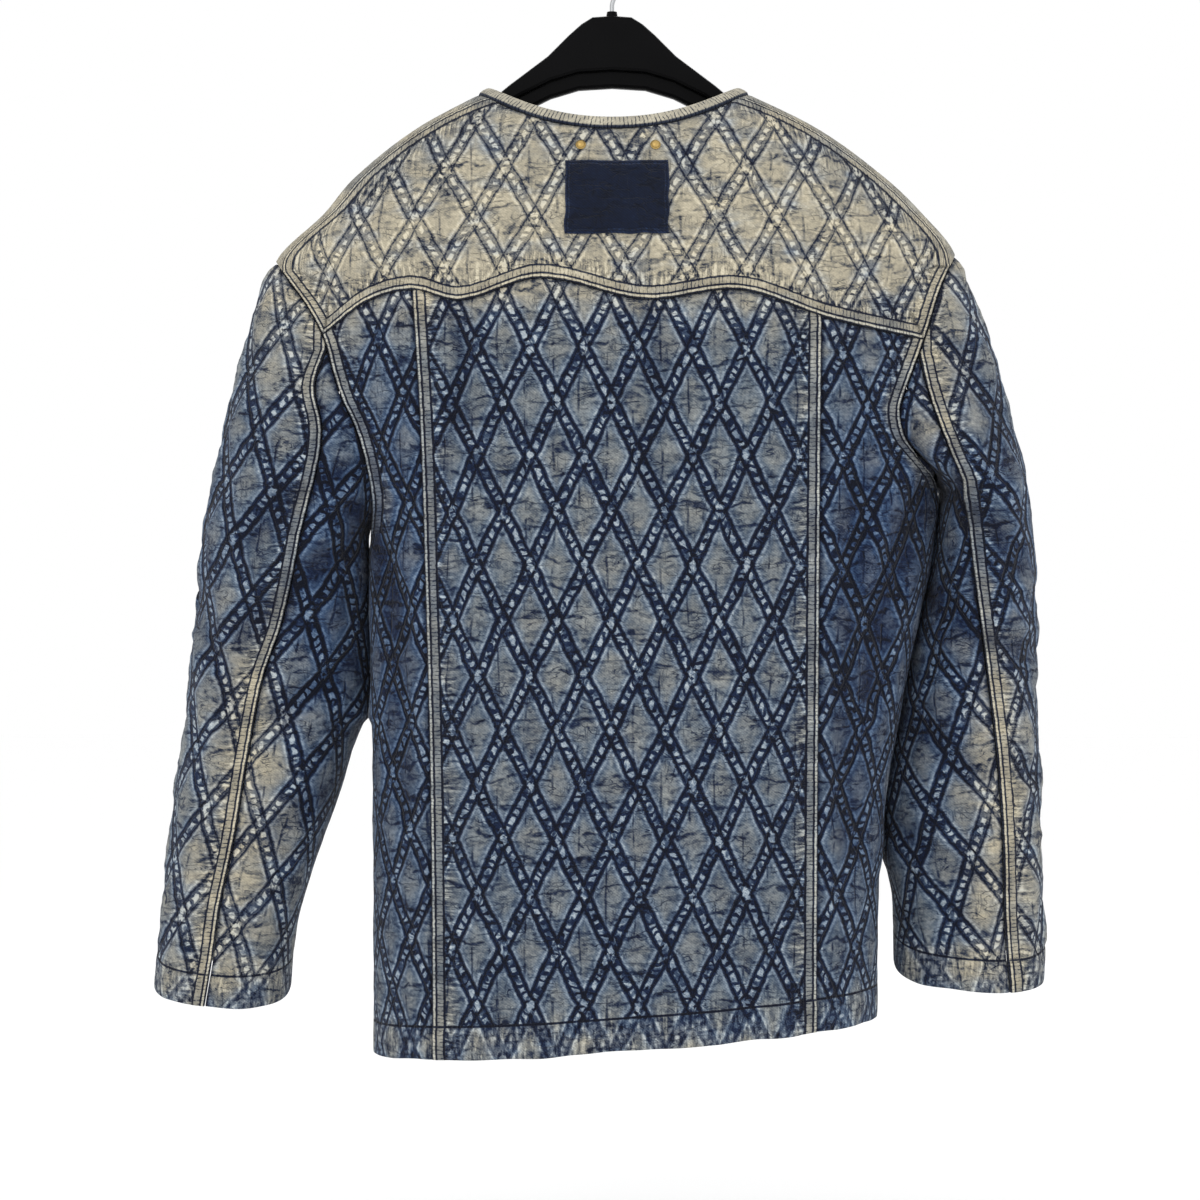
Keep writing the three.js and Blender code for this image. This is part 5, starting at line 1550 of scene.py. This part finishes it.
@dataclass
class Patch:
    """A plain dark patch, sewn on the yoke."""

    x: float = 3.0
    z: float = -196.0
    wide: float = 72.0
    tall: float = 52.0
    thick: float = 1.4
    clear: float = 1.2
    columns: int = 60
    rows: int = 44

    def build(self) -> bpy.types.Object:
        """A thin cushion-edged sheet on the yoke's form.

        Returns:
            The patch.
        """
        s, t = np.meshgrid(np.linspace(-0.5, 0.5, self.columns + 1), np.linspace(-0.5, 0.5, self.rows + 1))
        u = self.x + self.wide * s + 0.7 * ripple(s * 70, t * 50, (18, 9), 21) * np.abs(s) * 2
        v = self.z + self.tall * t + 0.7 * ripple(s * 70, t * 50, (9, 18), 22) * np.abs(t) * 2
        edge = np.minimum(self.wide * (0.5 - np.abs(s)), self.tall * (0.5 - np.abs(t)))
        crumple = 0.35 * ripple(u, v, (11, 9), 23) + 0.2 * ripple(u, v, (5, 6), 24)
        top = self.clear + self.thick * np.sqrt(smooth_step(-0.6, 2.4, edge)) + crumple * smooth_step(0, 6, edge)
        top -= 0.5 * np.exp(-(((edge - 2.6) / 0.9) ** 2))
        count = u.size
        outer = BACK_FORM.lifted(u.ravel(), v.ravel(), top.ravel())
        under = BACK_FORM.lifted(u.ravel(), v.ravel(), np.full(count, self.clear - 0.3))
        row = self.columns + 1
        faces = []
        for j in range(self.rows):
            for i in range(self.columns):
                a = j * row + i
                quad = [a, a + 1, a + row + 1, a + row]
                faces += [quad, [count + k for k in quad[::-1]]]
        ring = [*range(self.columns), *range(self.columns, count - 1, row), *range(count - 1, count - row, -1),
                *range(count - row, 0, -row)]
        for a, b in zip(ring, ring[1:] + ring[:1]):
            faces.append([b, a, a + count, b + count])
        piece = make_object("back_patch_cloth", np.concatenate([outer, under]), faces)
        twice = lambda *columns: np.tile(np.stack([c.ravel() for c in columns], axis=1), (2, 1))
        mark(piece, "flat", twice(u, v, u))
        mark(piece, "edges", twice(edge, edge, edge))
        return piece

    def dress(self, piece: bpy.types.Object, material: bpy.types.Material) -> None:
        """Gives the patch its material and its place on the yoke."""
        piece.data.materials.append(material)
        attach(piece, BODY)
        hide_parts("back_patch")


@dataclass
class Studs:
    """Two plain domed rivets above the patch."""

    xs: tuple[float, float] = (-22.0, 30.0)
    z: float = -158.5
    radius: float = 3.6
    high: float = 2.4
    clear: float = 0.9
    sides: int = 28

    def build(self) -> list[bpy.types.Object]:
        """A flanged dome for each stud.

        Returns:
            The two domes.
        """
        profile = [(0.0, 0.0), (self.radius * 0.92, 0.0), (self.radius, 0.3), (self.radius * 0.95, 0.6),
                   (self.radius * 0.8, 0.7)]
        for turn in np.linspace(0.15, math.pi / 2, 8):
            profile.append((self.radius * 0.8 * math.cos(turn), 0.7 + (self.high - 0.7) * math.sin(turn)))
        return [self._dome(f"stud_{side.value}_rivet", x, profile) for side, x in zip(Side, self.xs)]

    def _dome(self, name: str, x: float, profile: Sequence[tuple[float, float]]) -> bpy.types.Object:
        """Turns a profile round the way out of the yoke."""
        at = (np.array([x]), np.array([self.z]))
        out = BACK_FORM.normal(*at)[0]
        base = BACK_FORM.lifted(*at, np.array([self.clear]))[0]
        side = np.cross(out, [0, 0, 1.0])
        side /= np.linalg.norm(side)
        up = np.cross(side, out)
        turn = np.linspace(0, 2 * math.pi, self.sides, endpoint=False)
        spoke = np.cos(turn)[:, None] * side + np.sin(turn)[:, None] * up
        points = np.concatenate([base + max(r, 0.01) * spoke + h * out for r, h in profile])
        faces = []
        for k in range(len(profile) - 1):
            for i in range(self.sides):
                j = (i + 1) % self.sides
                low, high = k * self.sides, (k + 1) * self.sides
                faces.append([low + i, high + i, high + j, low + j])
        return make_object(name, points, [f[::-1] for f in faces])

    def dress(self, pieces: Sequence[bpy.types.Object], material: bpy.types.Material) -> None:
        """Gives the studs their brass and their places on the yoke."""
        for side, piece in zip(Side, pieces):
            piece.data.materials.append(material)
            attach(piece, BODY)
            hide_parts(f"stud_{side.value}")


@dataclass
class Hook:
    """The wire hook, whose inside top is the origin."""

    wire: float = 3.2
    inside: float = 17.0
    foot: float = -59.0

    def build(self) -> bpy.types.Object:
        """A round wire along the hook's line.

        Returns:
            The wire.
        """
        radius = self.inside + self.wire / 2
        middle = -self.inside
        stem = middle - radius - self.foot - 4
        line = [(0.0, self.foot + k / 4 * stem) for k in range(4)]
        for k in range(19):
            turn = -math.pi / 2 + 0.3 + k / 18 * (1.5 * math.pi - 0.3)
            line.append((radius * math.cos(turn), middle + radius * math.sin(turn)))
        curve = bpy.data.curves.new("hanger_hook_wire", "CURVE")
        curve.dimensions = "3D"
        curve.bevel_depth = self.wire / 2 * MM
        curve.bevel_resolution = 5
        curve.use_fill_caps = True
        spline = curve.splines.new("NURBS")
        spline.points.add(len(line) - 1)
        for point, (x, z) in zip(spline.points, line):
            point.co = (x * MM, 0.0, z * MM, 1.0)
        spline.use_endpoint_u = True
        spline.order_u = 4
        wire = bpy.data.objects.new("hook_line", curve)
        bpy.context.scene.collection.objects.link(wire)
        mesh = bpy.data.meshes.new_from_object(wire.evaluated_get(bpy.context.evaluated_depsgraph_get()))
        bpy.data.objects.remove(wire)
        piece = bpy.data.objects.new("hanger_hook_wire", mesh)
        bpy.context.scene.collection.objects.link(piece)
        return piece

    def dress(self, piece: bpy.types.Object, material: bpy.types.Material) -> None:
        """Gives the hook its steel and its place on the hanger."""
        piece.data.materials.clear()
        piece.data.materials.append(material)
        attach(piece, BODY)
        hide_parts("hanger_hook")


@dataclass
class Studio:
    """A pale floor, soft light and the camera."""

    floor_at: float = -1.02
    camera_at: tuple[float, float, float] = (-0.0086, -2.0, -0.4752)
    sensor: float = 36.0
    frame_wide: float = 0.864

    def build(self) -> None:
        """Puts the stage, the light and the camera in the scene."""
        scene = bpy.context.scene
        floor = make_object(
            "floor", np.array([(-9, -9, 0), (9, -9, 0), (9, 9, 0), (-9, 9, 0)]) / MM + [0, 0, self.floor_at / MM],
            [[0, 1, 2, 3]],
        )
        material = bpy.data.materials.new("pale_floor")
        material.use_nodes = True
        shader = material.node_tree.nodes["Principled BSDF"]
        shader.inputs["Base Color"].default_value = (1, 1, 1, 1)
        shader.inputs["Roughness"].default_value = 0.9
        floor.data.materials.append(material)
        world = bpy.data.worlds.new("studio")
        world.use_nodes = True
        world.node_tree.nodes["Background"].inputs[0].default_value = (1, 1, 1, 1)
        world.node_tree.nodes["Background"].inputs[1].default_value = 1.0
        scene.world = world
        self._light("key", (-0.9, -2.2, 0.7), (0, 0, -0.45), 1.6, 9.0)
        self._light("fill", (1.5, -1.8, -0.1), (0, 0, -0.45), 1.6, 3.0)
        self._light("rear", (0.3, 2.4, 0.6), (0, 0, -0.45), 1.8, 6.0)
        data = bpy.data.cameras.new("camera")
        data.sensor_width = self.sensor
        data.lens = self.sensor * -self.camera_at[1] / self.frame_wide
        camera = bpy.data.objects.new("camera", data)
        camera.location = self.camera_at
        camera.rotation_euler = (math.pi / 2, 0, 0)
        scene.collection.objects.link(camera)
        scene.camera = camera
        scene.view_settings.view_transform = "Standard"

    @staticmethod
    def _light(name: str, at: Sequence[float], to: Sequence[float], size: float, power: float) -> None:
        """A soft square lamp turned to a place."""
        data = bpy.data.lights.new(name, "AREA")
        data.size = size
        data.energy = power
        lamp = bpy.data.objects.new(name, data)
        lamp.location = at
        lamp.rotation_euler = (Vector(to) - Vector(at)).to_track_quat("-Z", "Y").to_euler()
        bpy.context.scene.collection.objects.link(lamp)


def main() -> None:
    """Builds the jacket, its hanger and the studio."""
    logging.basicConfig(level=logging.INFO, format="%(message)s")
    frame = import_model()
    Studio().build()
    effects = Effects()
    cloth = WashedIndigo(effects).material()
    sleeves = [
        Sleeve(Side.LEFT, Quilt(41, 77, -232, -559, -0.23), -245, Cut(0.25, 0.56, 0.103), Cut(0.17, 0.47, 0.064)),
        Sleeve(Side.RIGHT, Quilt(41, 75, 239.5, -584, 0.2), 258, Cut(0.25, 0.56, 0.095), Cut(0.17, 0.47, 0.067)),
    ]
    for panel in [*BodyCloth().panels(), *(p for sleeve in sleeves for p in sleeve.panels())]:
        piece = panel.build()
        panel.dress(piece, cloth)
        log.info("%s: %d faces", piece.name, len(piece.data.polygons))
    binding = NeckBinding()
    binding.dress(binding.build(), WashedBinding(effects).material())
    patch = Patch()
    patch.dress(patch.build(), DarkDenim(effects).material())
    studs = Studs()
    brass = HardFinish("stud_brass", (0.42, 0.27, 0.08), (0.62, 0.44, 0.17), (0.25, 0.45), 1.0)
    studs.dress(studs.build(), brass.material())
    hook = Hook()
    steel = HardFinish("hook_steel", (0.36, 0.37, 0.38), (0.5, 0.51, 0.52), (0.2, 0.35), 1.0)
    hook.dress(hook.build(), steel.material())
    black = HardFinish(
        "hanger_plastic", (0.002, 0.002, 0.0023), (0.004, 0.004, 0.0045), (0.3, 0.42), relief=0.05, gloss=0.05
    )
    hanger = frame["nodes"]["hanger"]
    hanger.data.materials.clear()
    hanger.data.materials.append(black.material())
    log.info("pieces are in place")


if __name__ == "__main__":
    main()
